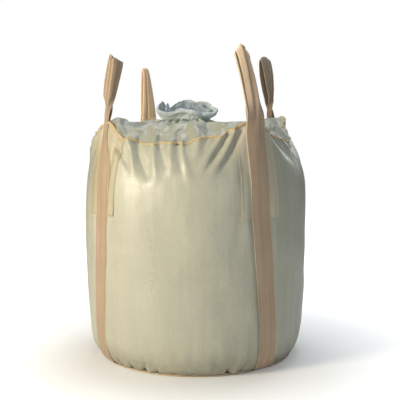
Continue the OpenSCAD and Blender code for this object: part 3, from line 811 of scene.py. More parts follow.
# ------------------------------------------------------------------ top cloth
_l, _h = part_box("spout_skirt")
SPX, SPY = (_l.x + _h.x) / 2, (_l.y + _h.y) / 2
SPR = (_h.x - _l.x) / 2
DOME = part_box("spout_seam")[0].z - 0.0008
TIE = (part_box("spout_tie")[0].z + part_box("spout_tie")[1].z) / 2 - 0.003


def top_surface(phi, s, low=0.0):
    phi, s = np.broadcast_arrays(np.asarray(phi, float), np.asarray(s, float))
    rr, rz = rim(phi)
    a = np.radians(phi)
    e = ripple(phi, rz - 0.002) * (1 - smooth(0.0, 0.25, s))
    rim_p = np.stack([(rr + e) * np.sin(a), -(rr + e) * np.cos(a), rz], -1)
    eye = np.stack([SPR * np.sin(a) + SPX, -SPR * np.cos(a) + SPY, np.full(a.shape, DOME)], -1)
    f = np.interp(s, [0, 0.05, 0.12, 0.2, 0.32, 0.5, 0.7, 1.0], [0, 0.17, 0.36, 0.52, 0.70, 0.87, 0.96, 1.0])
    p = rim_p + (eye - rim_p) * s[..., None]
    p[..., 2] = rim_p[..., 2] + (eye[..., 2] - rim_p[..., 2]) * f
    mid = smooth(0.02, 0.2, s) * (1 - smooth(0.86, 1.0, s))
    d = 0.0120 * creases(p * [1, 1, 1.5], 0.15, 31) * mid + 0.0052 * creases(p, 0.055, 33, 5) * mid + 0.004 * waves(p, 0.09, 35) * mid
    d += 0.0045 * np.sin(np.radians(phi) * 38 + 1.5 * np.sin(np.radians(phi) * 5)) * np.exp(-s / 0.10) * smooth(0.0, 0.03, s)
    for c, w, h in ((42, 6, 0.012), (138, 6, 0.012), (-138, 6, 0.012), (-42, 7, 0.012), (-20, 4, 0.008), (-8, 3, -0.007),
                    (12, 4, 0.009), (22, 3, -0.008), (68, 5, 0.008), (100, 5, 0.009), (166, 5, 0.008), (-168, 4, -0.006),
                    (-100, 5, 0.009), (-76, 5, -0.008), (-58, 4, 0.007), (30, 3, 0.007)):
        d += h * np.exp(-(wrap(phi - c - 10 * (s - 0.4) * np.sign(c)) / w) ** 2) * smooth(0.0, 0.12, s) * (1 - smooth(0.7, 1.0, s))
    # nothing stands above the spout's seam
    p[..., 2] += d
    p[..., 2] = np.where(s > 0.35, np.minimum(p[..., 2], DOME + 0.004), p[..., 2])
    return p + [0, 0, -low]


TPHI = angles(400)
TS = np.concatenate([np.linspace(0, 0.3, 26)[:-1], np.linspace(0.3, 1, 46)])
top_P = top_surface(TPHI[None], TS[:, None])
# wrinkles by simulation, on every second column
TOP_MOVE = drape(top_P[:, ::2], np.where((TS < 0.012) | (TS > 0.975), 1.0, 0.0), 0.055, 16, 0.011)


def top_move(phi, s):
    """The simulated wrinkles at angles phi and shares s of the way in."""
    phi, s = np.broadcast_arrays(np.asarray(phi, float), np.asarray(s, float))
    cols = np.append(TPHI[::2], 180.0)
    j = np.interp(phi, cols, np.arange(len(cols)))
    i = np.interp(s, TS, np.arange(len(TS)))
    n_ = TOP_MOVE.shape[1]
    i0, j0 = np.minimum(i.astype(int), len(TS) - 2), np.minimum(j.astype(int), n_ - 1)
    a_, b_ = (i - i0)[..., None], (j - j0)[..., None]
    M = TOP_MOVE
    return ((M[i0, j0] * (1 - b_) + M[i0, (j0 + 1) % n_] * b_) * (1 - a_) + (M[i0 + 1, j0] * (1 - b_) + M[i0 + 1, (j0 + 1) % n_] * b_) * a_)


top_P = top_P + top_move(TPHI[None], TS[:, None])
TU = np.broadcast_to(np.radians(np.append(TPHI, 180.0)) * 0.45, (len(TS), len(TPHI) + 1))
TV = np.broadcast_to((TS * 0.33)[:, None], TU.shape)
top_cloth = grid("top_cloth", top_P, TOPCLOTH, True, TU, TV)
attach(top_cloth, "bag")
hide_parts("top_panel")

# ------------------------------------------------------------------ seams
sp = np.linspace(-180, 180, 1081)[:-1]
rr, rz = rim(sp)
e = ripple(sp, rz - 0.002)
a = np.radians(sp)
thick = 0.0034 * (1 + 0.16 * np.sin(a * 47) * np.sin(a * 13)) * (1 + 0.75 * np.exp(-(wrap(sp + 40) / 7.5) ** 4)
                                                              + 0.35 * np.exp(-(wrap(sp - 34) / 5) ** 4)
                                                              + 0.5 * np.exp(-(wrap(sp - 129) / 7) ** 4)
                                                              + 0.6 * np.exp(-(wrap(sp + 138) / 8) ** 4))
seam_path = np.stack([(rr + e + 0.001) * np.sin(a), -(rr + e + 0.001) * np.cos(a), rz + 0.0015 + 0.001 * np.sin(a * 61)], -1)
v, f = tube(seam_path, thick * 1.25, 14, True, 0.72)
parts = [(v, f)]
q, d, ix = along(np.vstack([seam_path, seam_path[:1]]), 0.0088)
phi_q = np.interp(ix, np.arange(1081), np.append(sp, 180))
out = np.stack([np.sin(np.radians(phi_q)), -np.cos(np.radians(phi_q)), np.zeros(len(phi_q))], -1)
tq = np.interp(phi_q, sp, thick, period=360)
parts.append(dashes(q + out * (tq * 0.92)[:, None] - [0, 0, 0.0004], d, out, 0.0058, 0.0009))
v, f = join(parts)
top_seam = mesh("top_seam_binding", v, f, BIND)
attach(top_seam, "bag")
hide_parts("top_seam")

parts = []
for i in range(4):
    a0 = CORNERS[i] + DRIFT[i] + 6.5
    a1 = CORNERS[(i + 1) % 4] + DRIFT[(i + 1) % 4] - 6.5
    a1 += 360 if a1 < a0 else 0
    ang = np.radians(np.linspace(a0, a1, 150))
    r = (0.4645 + 0.0012 * np.sin(ang * 57)) * RS
    path = np.stack([r * np.sin(ang), -r * np.cos(ang), np.full(150, 0.0052)], -1)
    parts.append(tube(path, 0.0030, 10))
v, f = join(parts)
bottom_seam = mesh("bottom_seam_binding", v, f, BIND)
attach(bottom_seam, "bag")
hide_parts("bottom_seam")

ang = np.linspace(0, 2 * pi, 241)[:-1]
path = np.stack([(SPR + 0.004) * np.sin(ang) + SPX, -(SPR + 0.004) * np.cos(ang) + SPY, np.full(240, DOME + 0.0025) + 0.0008 * np.sin(ang * 19)], -1)
parts = [tube(path, 0.0026, 10, True)]
q, d, _ = along(np.vstack([path, path[:1]]), 0.0085)
parts.append(dashes(q + [0, 0, 0.0022], d, np.broadcast_to([0, 0, 1.0], d.shape), 0.0056, 0.0008))
v, f = join(parts)
spout_seam = mesh("spout_seam_binding", v, f, PALEBIND)
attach(spout_seam, "bag")
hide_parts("spout_seam")

# ------------------------------------------------------------------ base cloth
ba = np.linspace(-180, 180, 241)[:-1]
br = np.concatenate([[0.0015], np.linspace(0.03, 0.437 * RS, 30)])
bp = np.stack([br[:, None] * np.sin(np.radians(ba)), -br[:, None] * np.cos(np.radians(ba)), np.zeros((31, 240))], -1)
bz = 0.0034 + 0.0010 * creases(bp, 0.09, 51) * smooth(0.02, 0.1, br)[:, None] * (1 - smooth(0.41, 0.437, br))[:, None]
bp[..., 2] = np.maximum(bz, 0.0012)
base_cloth = grid("base_cloth", bp[::-1], BASECLOTH, True,
                  np.broadcast_to(np.radians(np.append(ba, 180)) * 0.4, (31, 241)), np.broadcast_to(br[::-1][:, None], (31, 241)), flip=True)
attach(base_cloth, "bag")
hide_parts("bottom_panel")

# ------------------------------------------------------------------ patches
T_PATCH = float(np.interp(0.722, _t[:, 1], T_OF))
patch_half = np.degrees(0.102 / 0.54)
patch_stitches = []
for i, c in enumerate(CORNERS):
    pt = np.linspace(T_PATCH, 0.992, 90)
    ps = np.linspace(-1, 1, 49)
    S, Tg = np.meshgrid(ps, pt)
    hem = np.maximum(smooth(0.90, 0.93, np.abs(S)) * (1 - smooth(0.985, 1.0, np.abs(S)) * 0.5),
                     1 - smooth(T_PATCH + 0.006, T_PATCH + 0.010, Tg))
    lift = 0.0016 + 0.0010 * hem
    lower = 1 - smooth(T_PATCH, T_PATCH + 0.045, Tg)
    g = hashed(60 + i, 4, 0.6, 1.4)
    lift = lift + lower * (0.0030 * g[0] * np.exp(-((S + 0.86) / 0.22) ** 2) + 0.0030 * g[1] * np.exp(-((S - 0.86) / 0.22) ** 2))
    sag = lower * (0.0055 * g[2] * np.exp(-((S + 0.75) / 0.3) ** 2) + 0.002 * g[3] * np.exp(-((S - 0.7) / 0.3) ** 2)) / ARC
    if c > 0 and i == 0:
        sag = sag * 1.6
    P = surface(c + S * patch_half, Tg - sag, lift)
    # the front-left patch takes the darker copy of the patch cloth: painted shade
    o = grid("patch_" + NAMES[i] + "_cloth", P, PATCH_SHADED if i == 3 else PATCH, False, S * 0.102, Tg * ARC)
    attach(o, "bag")
    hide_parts("patch_" + NAMES[i])
    for s in (-0.955, 0.955):
        t_line = np.linspace(T_PATCH + 0.004, 0.985, 200)
        line = surface(c + s * patch_half, t_line, 0.0030)
        q, d, ix = along(line, 0.0095, 0.004)
        nn = np.stack([np.sin(np.radians(c + s * patch_half)), -np.cos(np.radians(c + s * patch_half)), 0.15])
        patch_stitches.append(dashes(q, d, np.broadcast_to(nn, d.shape), 0.0064, 0.0010))
    for s0, s1 in ((-0.94, -0.54), (0.54, 0.94)):
        ss = np.linspace(s0, s1, 40)
        row = np.full(40, T_PATCH + 0.0035)
        low = (1 - smooth(T_PATCH, T_PATCH + 0.045, row))
        lf = 0.0034 + low * (0.0030 * g[0] * np.exp(-((ss + 0.86) / 0.22) ** 2) + 0.0030 * g[1] * np.exp(-((ss - 0.86) / 0.22) ** 2))
        sg = low * (0.0055 * g[2] * np.exp(-((ss + 0.75) / 0.3) ** 2) + 0.002 * g[3] * np.exp(-((ss - 0.7) / 0.3) ** 2)) / ARC
        line = surface(c + ss * patch_half, row - sg * (1.6 if i == 0 else 1), lf)
        q, d, ix = along(line, 0.0095, 0.004)
        nn = np.stack([np.sin(np.radians(c)), -np.cos(np.radians(c)), 0])
        patch_stitches.append(dashes(q, d, np.broadcast_to(nn, d.shape), 0.0064, 0.0010))
v, f = join(patch_stitches)
o = mesh("patch_stitch_rows", v, f, STITCH)
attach(o, "bag")
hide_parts("patch_stitching")

# ------------------------------------------------------------------ straps: a belt and its loop in one length of webbing
BEND_R, BEND_Z = 0.505 * RS, CAD_HI.z * 0 + _hi.z + 0.014
# wide is (share of the height, outer leg's width, inner leg's width); peak is where across the crown is highest, and how far
# it falls to each side; pleat is the cross-section (share across, mm), and foot_pleat the same at the rim.
# Each loop's and belt's brightness factor below is painted light and shade: it lightens the back-left loop and darkens
# the back-right loop and the front-left belt; the fold factor paints shade in the folds, and bands paints light and
# dark bands across a loop's pleats.
LOOP = [
    dict(h=0.330, lean=0.050, side=[(0, 0), (0.7, -0.025), (1, -0.040)], twist=0, turned=0.3, shift=0.022, painted_shading=1.16, fold_shade=0.30, tuck=0.0, peak=(-0.28, 0.046, 0.060, 1.0),
         wide=[(0, 0.092, 0.086), (0.4, 0.098, 0.080), (0.8, 0.101, 0.072), (1, 0.092, 0.068)],
         pleat=[(-1, 0), (-0.90, 4), (-0.80, -3), (-0.66, 4), (-0.24, 6), (-0.14, 5), (0.06, -7), (0.34, 6), (0.5, 5), (0.8, -12), (1, -20)],
         foot_pleat=[(-1, 3), (-0.9, 4), (-0.2, -2), (0.28, 4), (0.46, -3), (0.86, 3), (1, 0)],
         bands=[(-1, 1.25), (-0.92, 1.2), (-0.86, 0.74), (-0.80, 0.78), (-0.70, 1.7), (-0.26, 1.75), (-0.12, 0.98), (0.04, 0.86), (0.14, 1.7),
                (0.46, 1.65), (0.54, 0.76), (1, 0.64)]),
    dict(h=0.325, lean=0.038, side=[(0, 0), (1, 0.011)], twist=104, turned=0.36, shift=0.0, painted_shading=0.80, tuck=0.0, peak=(0.2, 0.016, 0.018, 2.2),
         wide=[(0, 0.044, 0.042), (0.1, 0.030, 0.028), (0.22, 0.028, 0.026), (0.35, 0.046, 0.044), (0.48, 0.066, 0.064), (0.74, 0.088, 0.084), (1, 0.090, 0.088)],
         pleat=[(-1, -2), (-0.6, 2), (-0.2, -1), (0.3, 1), (1, -1)], foot_pleat=[(-1, -3), (-0.3, 3), (0.3, 3), (1, -3)]),
    dict(h=0.272, lean=0.010, side=[(0, 0), (1, 0.026)], twist=0, turned=0.4, shift=0.0, painted_shading=1.88, tuck=0.0, peak=(0.0, 0.002, 0.002, 2.0),
         wide=[(0, 0.088, 0.084), (0.5, 0.060, 0.058), (1, 0.032, 0.032)],
         pleat=[(-1, 1), (-0.5, -2), (0.05, -3), (0.24, 8), (0.5, -3), (0.8, -2), (1, 2)],
         foot_pleat=[(-1, 2), (-0.5, -2), (0.05, -3), (0.26, 9), (0.52, -3), (0.8, -3), (1, 2)]),
    dict(h=0.286, lean=0.054, side=[(0, 0), (0.3, -0.009), (0.6, -0.007), (1, 0.002)], twist=88, turned=0.42, shift=0.0, painted_shading=0.98, tuck=-0.019, peak=(-1.0, 0.0, 0.026, 1.0),
         wide=[(0, 0.034, 0.032), (0.06, 0.033, 0.031), (0.19, 0.030, 0.029), (0.30, 0.037, 0.036), (0.40, 0.040, 0.039), (0.57, 0.047, 0.046), (0.76, 0.052, 0.051), (1, 0.060, 0.059)],
         belt_painted_shading=0.84, pleat=[(-1, -24), (-0.84, -18), (-0.70, 0), (-0.2, 2), (0.3, -1), (1, -2)],
         foot_pleat=[(-1, -5), (-0.5, 2), (0.1, 3), (0.4, -3), (1, -2)]),
]
GAP, OPEN = 0.0185, 0.015
S_ACROSS = np.linspace(-1, 1, 41)
strap_stitches = []
loop_stitches = {}
for i, c in enumerate(CORNERS):
    L = LOOP[i]
    ca, sa = math.cos(math.radians(c)), math.sin(math.radians(c))
    er, et = np.array([sa, -ca, 0]), np.array([ca, sa, 0])
    # under the base
    low = math.radians(CORNERS[i] + DRIFT[i])
    ler, let = np.array([math.sin(low), -math.cos(low), 0]), np.array([math.cos(low), math.sin(low), 0])
    base_r = np.linspace(0.237, 0.437, 26) * RS
    P0 = base_r[:, None, None] * ler + (S_ACROSS * 0.05)[None, :, None] * let + [0, 0, 0.0012]
    # up the wall
    tw = np.concatenate([np.linspace(0.010, 0.12, 34)[:-1], np.linspace(0.12, 0.86, 120)[:-1], np.linspace(0.86, 0.992, 40)])
    z0 = np.interp(tw, T_OF, _t[:, 1])
    ang = belt_angle(i, z0)
    zc = height(ang, tw)
    foot_w, foot_w2 = L["wide"][0][1:]
    half = 0.05 + (foot_w / 2 - 0.05) * smooth(*((1.03, 1.135) if foot_w > 0.06 else (0.93, 1.09)), zc)
    r0 = np.interp(tw, T_OF, _t[:, 0])
    pf = np.interp(S_ACROSS, [p[0] for p in L["pleat"]], [p[1] / 1000 for p in L["pleat"]])
    ff = np.interp(S_ACROSS, [p[0] for p in L["foot_pleat"]], [p[1] / 1000 for p in L["foot_pleat"]])
    fold_in = smooth(1.02, 1.15, zc)[:, None] * 0.55
    S2, A2 = np.meshgrid(S_ACROSS, ang)
    off = 0.0030 + 0.0014 * np.clip(-S2**2 + 1, 0, 1) * 0 + fold_in * (ff[None] - ff.min() * 0.8)
    buckle = 0.0016 * np.sin(S2 * 5 + zc[:, None] * 60 + i) * (1 - smooth(0.03, 0.17, zc))[:, None] * smooth(0.004, 0.03, zc)[:, None]
    tuck = L["tuck"] * smooth(0.86, 1.09, zc)
    P1 = surface(A2 + np.degrees((S2 * half[:, None] + tuck[:, None]) / np.maximum(r0, 0.3)[:, None]), tw[:, None], off + buckle + 0.0008)
    # over the rim and round the loop
    tl = np.concatenate([np.linspace(0.006, 0.36, 60)[:-1], np.linspace(0.36, 0.64, 56)[:-1], np.linspace(0.64, 0.995, 60)])
    sn, cs = np.sin(pi * tl), np.cos(pi * tl)
    turn = np.radians(c + L["twist"] * smooth(0.0, L["turned"], sn))
    ert = np.stack([np.sin(turn), -np.cos(turn), 0 * turn], -1)
    ett = np.stack([np.cos(turn), np.sin(turn), 0 * turn], -1)
    u = (GAP / 2 + OPEN * sn) * cs
    s0, fall_a, fall_b, power = L["peak"]
    fall = np.where(S_ACROSS < s0, fall_a * (np.abs(S_ACROSS - s0) / (1 + s0 + 1e-6)) ** power, fall_b * (np.abs(S_ACROSS - s0) / (1 - s0 + 1e-6)) ** power)
    tall = (L["h"] - fall)[None] * (sn[:, None] * (1 - sn[:, None] ** 3) + sn[:, None] ** 4) + fall[None] * 0
    w = 0.0008 + tall + np.where(tl > 0.5, 0.012 * (2 * tl - 1), 0)[:, None]
    sd = L["shift"] * smooth(0.46, 0.60, tl) * (1 - smooth(0.86, 1, tl))
    inner = smooth(0.42, 0.58, tl)
    wt_ = np.array(L["wide"])
    wd = np.interp(sn, wt_[:, 0], wt_[:, 1]) * (1 - inner) + np.interp(sn, wt_[:, 0], wt_[:, 2]) * inner
    du, dw = np.gradient(u, tl), np.gradient(w[:, 20], tl)
    ln = np.hypot(du, dw)
    n3 = ert * (dw / ln)[:, None] - np.array([0, 0, 1.0])[None] * (du / ln)[:, None]
    up_ = smooth(0.0, 0.3, sn)[:, None]
    # the legs' folds lie the same way round, so the inner leg's are turned over with it
    side_sign = (1 - 1.7 * smooth(0.45, 0.55, tl))[:, None]
    sect = (ff[None] * (1 - up_) + pf[None] * up_) * (0.6 + 0.4 * smooth(0.0, 0.12, tl) * (1 - smooth(0.88, 1, tl)))[:, None]
    sect = sect * side_sign
    centre = (np.array([BEND_R * sa, -BEND_R * ca, BEND_Z]) - er * (GAP / 2 + L["lean"] * sn)[:, None] + et * (np.interp(sn, [q[0] for q in L["side"]], [q[1] for q in L["side"]]) + L["tuck"])[:, None]
              + ert * u[:, None] + ett * sd[:, None])
    P2 = (centre[:, None] + (S_ACROSS[None] * wd[:, None] / 2)[..., None] * ett[:, None] + n3[:, None] * sect[..., None]
          + np.array([0, 0, 1.0]) * w[..., None])
    # the inner end goes down behind the belt, where it is sewn
    end_t = np.linspace(0, 1, 12)[1:]
    last = P2[-1]
    goal = surface(c + np.degrees((S_ACROSS * foot_w2 / 2 + L["tuck"]) / 0.5), 0.955, 0.0008)
    mid = (last + surface(c + np.degrees((S_ACROSS * foot_w2 / 2 + L["tuck"]) / 0.5), 0.995, 0.0012)) / 2
    P3 = ((1 - end_t)[:, None, None] ** 2 * last + (2 * end_t * (1 - end_t))[:, None, None] * mid + (end_t**2)[:, None, None] * goal)
    P = np.concatenate([P0, P1, P2, P3], 0)
    k1, k2 = len(P0), len(P0) + len(P1)
    for centre_row, reach in ((k1, 5), (k2, 12)):
        for _ in range(14):
            seg = P[centre_row - reach:centre_row + reach + 1].copy()
            sm = 0.25 * seg[:-2] + 0.5 * seg[1:-1] + 0.25 * seg[2:]
            P[centre_row - reach + 1:centre_row + reach] = sm
    P[..., 2] = np.maximum(P[..., 2], 0.0012)
    rows = len(P)
    # a brightness factor for each row and column of the strap: painted light and shade on the belt, the loop and its
    # folds
    painted_shading = np.full((rows, len(S_ACROSS)), L.get("belt_painted_shading", 1.0))
    painted_shading[k2:] = L["painted_shading"]
    for r_ in range(12):
        painted_shading[k2 - 6 + r_] = L.get("belt_painted_shading", 1.0) + (L["painted_shading"] - L.get("belt_painted_shading", 1.0)) * r_ / 12
    # painted shade in the folds, darker where the fold sinks deepest
    hollow = np.concatenate([np.zeros((len(P0), len(S_ACROSS))), fold_in * (ff.max() - ff)[None] / 0.010, (1 - 0.5 * up_) * (ff.max() - ff)[None] / 0.010 * (1 - up_)
                             + up_ * (pf.max() - pf)[None] / 0.011, np.zeros((len(P3), len(S_ACROSS)))], 0)
    painted_shading *= 1 - L.get("fold_shade", 0.22) * np.clip(hollow, 0, 1) ** 1.3
    # light and dark bands across the loop's outer leg: painted light and shade on its pleats
    if "bands" in L:
        bands = np.interp(S_ACROSS, [q[0] for q in L["bands"]], [q[1] for q in L["bands"]])
        share = np.zeros(rows)
        share[k2:k2 + len(tl)] = smooth(0.0, 0.10, tl) * (1 - smooth(0.55, 0.6, tl))
        painted_shading *= 1 + share[:, None] * (bands[None] - 1)
    o = ribbon("strap_" + NAMES[i], P, 0.0022, WEB, painted_shading)
    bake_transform(o)
    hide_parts("belt_" + NAMES[i], "loop_" + NAMES[i])
    # stitches: two rows on the belt, two on the loop's outer leg
    N = normals(P)
    for s_col in (4, -5):
        for row_range, bag_side in (((k1 + 4, k2 - 6), True), ((k2 + 6, k2 + 66), False)):
            line = P[row_range[0]:row_range[1], s_col] + N[row_range[0]:row_range[1], s_col] * 0.0013
            q, d, ix = along(line, 0.0092, 0.004)
            nn = np.stack([np.interp(ix, np.arange(len(line)), N[row_range[0]:row_range[1], s_col, k]) for k in range(3)], -1)
            st = dashes(q, d, nn, 0.0062, 0.0009 if bag_side else 0.0007)
            if bag_side:
                strap_stitches.append(st)
            else:
                loop_stitches.setdefault(i, []).append(st)
v, f = join(strap_stitches)
o = mesh("belt_stitch_rows", v, f, STITCH)
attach(o, "bag")
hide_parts("belt_stitching")
for i in range(4):
    v, f = join(loop_stitches[i])
    o = mesh("loop_stitch_rows_" + NAMES[i], v, f, LOOPTHREAD)
    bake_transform(o)
    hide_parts("loop_stitching_" + NAMES[i])

# ------------------------------------------------------------------ spout
SA = np.linspace(-180, 180, 289)[:-1]
sa_ = np.radians(SA)
prof = catmull([(0.175, 0.0), (0.150, 0.004), (0.118, 0.006), (0.088, 0.008), (0.064, 0.013), (0.048, 0.022), (0.040, TIE - DOME - 0.002), (0.040, TIE - DOME + 0.008)], 9)
g = np.random.default_rng(11)
pleat = sum(np.sin(sa_ * k + p) * w for k, p, w in ((17, 0.4, 0.5), (23, 2.0, 0.6), (9, 1.0, 0.35), (31, 3.0, 0.3)))
P = np.zeros((len(prof), len(SA), 3))
for row, (r, z) in enumerate(prof):
    q = 1 - (r - 0.040) / 0.135
    amp = 0.0145 * smooth(0.05, 0.6, q) * (1 - 0.75 * smooth(0.82, 1.0, q))
    shape = np.abs(pleat) ** 0.8 * np.sign(pleat)
    rr_ = r + 0.05 * amp * shape + 0.0025 * shape * smooth(0.7, 1, q)
    P[row, :, 0] = SPX + rr_ * np.sin(sa_ + 0.12 * q * np.sin(3 * sa_))
    P[row, :, 1] = SPY - rr_ * np.cos(sa_ + 0.12 * q * np.sin(3 * sa_))
    P[row, :, 2] = DOME + z + amp * (shape + 0.35) * 0.9
P[..., 2] += 0.0022 * creases(P, 0.03, 71, 6) * (smooth(0, 5, np.arange(len(prof))) * (1 - smooth(len(prof) - 16, len(prof) - 8, np.arange(len(prof)))))[:, None]
skirt = grid("spout_gathers", P, SKIRT, True)
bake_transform(skirt)
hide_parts("spout_skirt")

# Round the spout: angle, widest reach, reach at the rim, height of the rim, reach at the bottom of the cup.
MOUTH = [(-180, 0.108, 0.100, 1.247, 0.060), (-165, 0.110, 0.102, 1.243, 0.060), (-150, 0.112, 0.104, 1.236, 0.062), (-135, 0.112, 0.108, 1.218, 0.066),
         (-122, 0.114, 0.112, 1.199, 0.072), (-112, 0.130, 0.118, 1.212, 0.080), (-102, 0.144, 0.124, 1.236, 0.086), (-95, 0.147, 0.126, 1.241, 0.086),
         (-86, 0.142, 0.130, 1.222, 0.084), (-72, 0.128, 0.124, 1.196, 0.080), (-50, 0.112, 0.110, 1.186, 0.072), (-28, 0.102, 0.098, 1.190, 0.066),
         (-8, 0.100, 0.092, 1.203, 0.062), (6, 0.100, 0.092, 1.204, 0.060), (26, 0.104, 0.098, 1.194, 0.060), (50, 0.116, 0.112, 1.186, 0.062),
         (72, 0.130, 0.128, 1.186, 0.064), (88, 0.136, 0.135, 1.200, 0.064), (98, 0.136, 0.135, 1.206, 0.064), (112, 0.126, 0.122, 1.218, 0.062),
         (130, 0.112, 0.106, 1.230, 0.060), (148, 0.106, 0.100, 1.235, 0.060), (162, 0.106, 0.098, 1.231, 0.060), (170, 0.106, 0.099, 1.241, 0.060)]


def mouth(crumple, seed, shrink=1.0, lip=1.0, drop=0.0, low=1.128):
    """Rows of a crumpled cup of film: out of the tie, down over it, out and up to its rim, and over a short lip."""
    col = [ring_interp([(m[0], m[i]) for m in MOUTH], SA) for i in (1, 2, 3, 4)]
    wide, rim_r, rim_z, foot_r = col[0] * shrink, col[1] * shrink, col[2] - drop, col[3] * shrink
    qs = np.concatenate([np.linspace(0, 1, 62), np.linspace(1, 1.3, 14)[1:]])
    front = 0.15 + 0.85 * np.exp(-(wrap(SA - 5) / 80) ** 4)
    ph = np.random.default_rng(seed).uniform(0, 6.28, 4)
    pl = np.cos(sa_ * 7 + ph[0]) + 0.6 * np.cos(sa_ * 11 + ph[1]) + 0.5 * np.cos(sa_ * 5 + ph[2])
    key_q = [0, 0.07, 0.16, 0.24, 0.36, 0.55, 0.78, 0.92, 1.0]
    rows = []
    for q in qs:
        qq = min(q, 1.0)
        R = [0.037 + 0 * wide, 0.044 + 0 * wide, 0.6 * foot_r + 0.014, foot_r, foot_r + 0.30 * (wide - foot_r), foot_r + 0.68 * (wide - foot_r),
             wide, 0.5 * (wide + rim_r), rim_r]
        top = rim_z - low
        Z = [TIE + 0.004 + 0 * wide, TIE - 0.003 + 0 * wide, 0.5 * (TIE + low) - 0.004 + 0 * wide, low + 0 * wide, low + 0.10 * top, low + 0.36 * top,
             low + 0.70 * top, low + 0.90 * top, rim_z]
        i = min(max(int(np.searchsorted(key_q, qq) - 1), 0), 7)
        x = (qq - key_q[i]) / (key_q[i + 1] - key_q[i])
        x = x * x * (3 - 2 * x) * 0.4 + x * 0.6
        r, z = R[i] + (R[i + 1] - R[i]) * x, Z[i] + (Z[i + 1] - Z[i]) * x
        r = r * (1 + 0.085 * smooth(0.05, 0.3, qq) * (1 - 0.55 * qq) * pl)
        z = z + 0.0015 * qq * pl * smooth(0.2, 0.5, qq)
        if q > 1:
            y = (q - 1) / 0.3
            r = r + lip * front * 0.023 * np.sin(y * pi * 0.5)
            z = z - lip * front * 0.021 * y**1.25 + 0.003 * lip * np.sin(y * pi)
        rows.append(np.stack([SPX + r * np.sin(sa_), SPY - r * np.cos(sa_) * 0.88, z], -1))
    P = np.stack(rows)
    amt = crumple * (smooth(0.10, 0.45, qs) * (1 - 0.5 * smooth(0.8, 1.0, qs)))[:, None]
    N = normals(P, True)
    P = P + N * (amt * creases(P, 0.062, seed, 5) + 0.28 * amt * creases(P, 0.020, seed + 1, 6))[..., None]
    P[..., 2] = np.maximum(P[..., 2], low - 0.003)
    return P


P = mouth(0.0046, 81)
mouth_qs = np.concatenate([np.linspace(0, 1, 62), np.linspace(1, 1.3, 14)[1:]])
P = P + drape(P, (mouth_qs < 0.12) * 1.0, 0.10, 14, 0.007, bend=0.2)
spout_mouth = grid("spout_mouth_film", P, MOUTH_FILM, True)
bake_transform(spout_mouth)
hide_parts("spout_mouth")
P = mouth(0.0045, 91, 0.80, 0.4, 0.010, 1.150)
liner_mouth = grid("liner_mouth_film", P, LINER, True)
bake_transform(liner_mouth)
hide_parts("liner_mouth")

parts = []
for k in (-1, 0, 1):
    th = np.linspace(0, 2 * pi, 121)[:-1]
    r = 0.0435 + 0.0012 * np.sin(th * 3 + k * 2) + 0.0008 * np.sin(th * 7 + k)
    parts.append(tube(np.stack([SPX + r * np.sin(th), SPY - r * np.cos(th), TIE + 0.0035 + 0.0056 * k + 0.0014 * np.sin(th * 2 + k)], -1),
                      0.0029, 16, True, strands=3, pitch=0.0273))
kn = np.linspace(0, 2 * pi, 61)[:-1]
kx, kz = 0.011 * np.sin(2 * kn), 0.0075 * np.sin(3 * kn)
kb = np.array([SPX + 0.012, SPY - 0.0470, TIE + 0.0035])
parts.append(tube(np.stack([kb[0] + kx, kb[1] - 0.0035 - 0.0035 * np.cos(kn * 3), kb[2] + kz], -1), 0.0028, 14, True, strands=3, pitch=0.02, up=(0, 1, 0)))
v, f = join(parts)
tie = mesh("spout_tie_twine", v, f, TWINE)
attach(tie, "spout")
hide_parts("spout_tie")

# ------------------------------------------------------------------ liner and contents, inside
IPHI = angles(180)
IT = stations(90)
liner_body = surface(IPHI[None], IT[:, None], -0.0035)
LS = np.linspace(0.03, 0.99, 44)[:, None]
liner_top = top_surface(IPHI[None], LS, 0.0055) + top_move(IPHI[None], LS)
P = np.concatenate([liner_body, liner_top], 0)
liner = grid("liner_bag", P, LINER, True)
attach(liner, "bag")
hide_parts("liner")
fill_body = surface(IPHI[None], IT[:, None], -0.0075)
FS = np.linspace(0.04, 0.99, 30)[:, None]
fill_top = top_surface(IPHI[None], FS, 0.014) + 0.8 * top_move(IPHI[None], FS)
fill_body[..., 2] = np.maximum(fill_body[..., 2], 0.0065)
P = np.concatenate([fill_body[:1] * [0.02, 0.02, 1], fill_body, fill_top, (fill_top[-1:] - [SPX, SPY, 0]) * [0.03, 0.03, 1] + [SPX, SPY, 0]], 0)
n = P.shape[1]
m_ = P.shape[0]
faces = [list(x) for x in faces_of(m_, n, True)] + [list(range(n))[::-1], list(range((m_ - 1) * n, m_ * n))]
fill = mesh("bulk_contents", P.reshape(-1, 3), faces, FILL)
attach(fill, "bag")
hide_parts("bulk_fill")

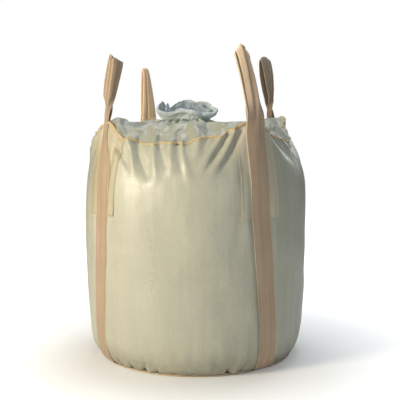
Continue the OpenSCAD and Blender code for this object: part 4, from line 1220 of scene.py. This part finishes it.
# ------------------------------------------------------------------ stage and light
m, t = material("floor")
k = Nodes(t)
_, ob = k.coords()
fx, fy, _z = k.split(ob)
far = k.math("SQRT", k.math("ADD", k.math("MULTIPLY", fx, fx), k.math("MULTIPLY", fy, fy)))
pale = k.n("ShaderNodeBsdfDiffuse")
k.put(pale.inputs[0], k.mix(k.span(k.noise(ob, 1.5, 4.0), 0.3, 0.7), (0.87, 0.865, 0.85), (0.85, 0.845, 0.83)))
glow = k.n("ShaderNodeEmission")
k.put(glow.inputs[0], (1.0, 0.995, 0.985))
seen = k.n("ShaderNodeLightPath").outputs["Is Camera Ray"]
k.put(glow.inputs[1], k.math("MULTIPLY", seen, k.span(far, 0.35, 1.9, 0.16, 0.95, "SMOOTHSTEP")))
addn = k.n("ShaderNodeAddShader")
k.link(pale.outputs[0], addn.inputs[0])
k.link(glow.outputs[0], addn.inputs[1])
k.link(addn.outputs[0], k.n("ShaderNodeOutputMaterial").inputs[0])
floor = mesh("floor", [(-30, -30, 0), (30, -30, 0), (30, 30, 0), (-30, 30, 0)], [[0, 1, 2, 3]], m)


def area(name, at, aim, size, power, colour):
    d = bpy.data.lights.new(name, "AREA")
    d.shape, d.size, d.energy, d.color = "DISK", size, power, colour
    o = bpy.data.objects.new(name, d)
    SC.collection.objects.link(o)
    o.location = at
    v_ = np.array(aim, float) - np.array(at, float)
    import mathutils
    o.rotation_euler = mathutils.Vector(v_).to_track_quat("-Z", "Y").to_euler()
    return o


area("key", (-2.80, -3.13, 2.0), (0, 0, 0.62), 1.2, 149, (1.0, 0.90, 0.73))
area("fill", (2.6, -4.4, 2.0), (0, 0, 0.60), 3.0, 32, (0.84, 0.93, 1.0))
area("top", (0.2, 1.0, 4.8), (0, 0, 0.9), 3.0, 104, (0.90, 0.95, 1.0))
area("back", (2.2, 4.2, 2.8), (0, 0, 0.8), 2.6, 40, (0.90, 0.95, 1.0))
world = bpy.data.worlds.new("world")
SC.world = world
world.use_nodes = True
wt = world.node_tree
wt.nodes.clear()
bg1, bg2 = wt.nodes.new("ShaderNodeBackground"), wt.nodes.new("ShaderNodeBackground")
bg1.inputs[0].default_value, bg1.inputs[1].default_value = (0.84, 0.92, 1.0, 1), 0.10
bg2.inputs[0].default_value, bg2.inputs[1].default_value = (1, 1, 1, 1), 1.0
lp, mx, wo = wt.nodes.new("ShaderNodeLightPath"), wt.nodes.new("ShaderNodeMixShader"), wt.nodes.new("ShaderNodeOutputWorld")
wt.links.new(lp.outputs["Is Camera Ray"], mx.inputs[0])
wt.links.new(bg1.outputs[0], mx.inputs[1])
wt.links.new(bg2.outputs[0], mx.inputs[2])
wt.links.new(mx.outputs[0], wo.inputs[0])
SC.view_settings.view_transform = "Standard"
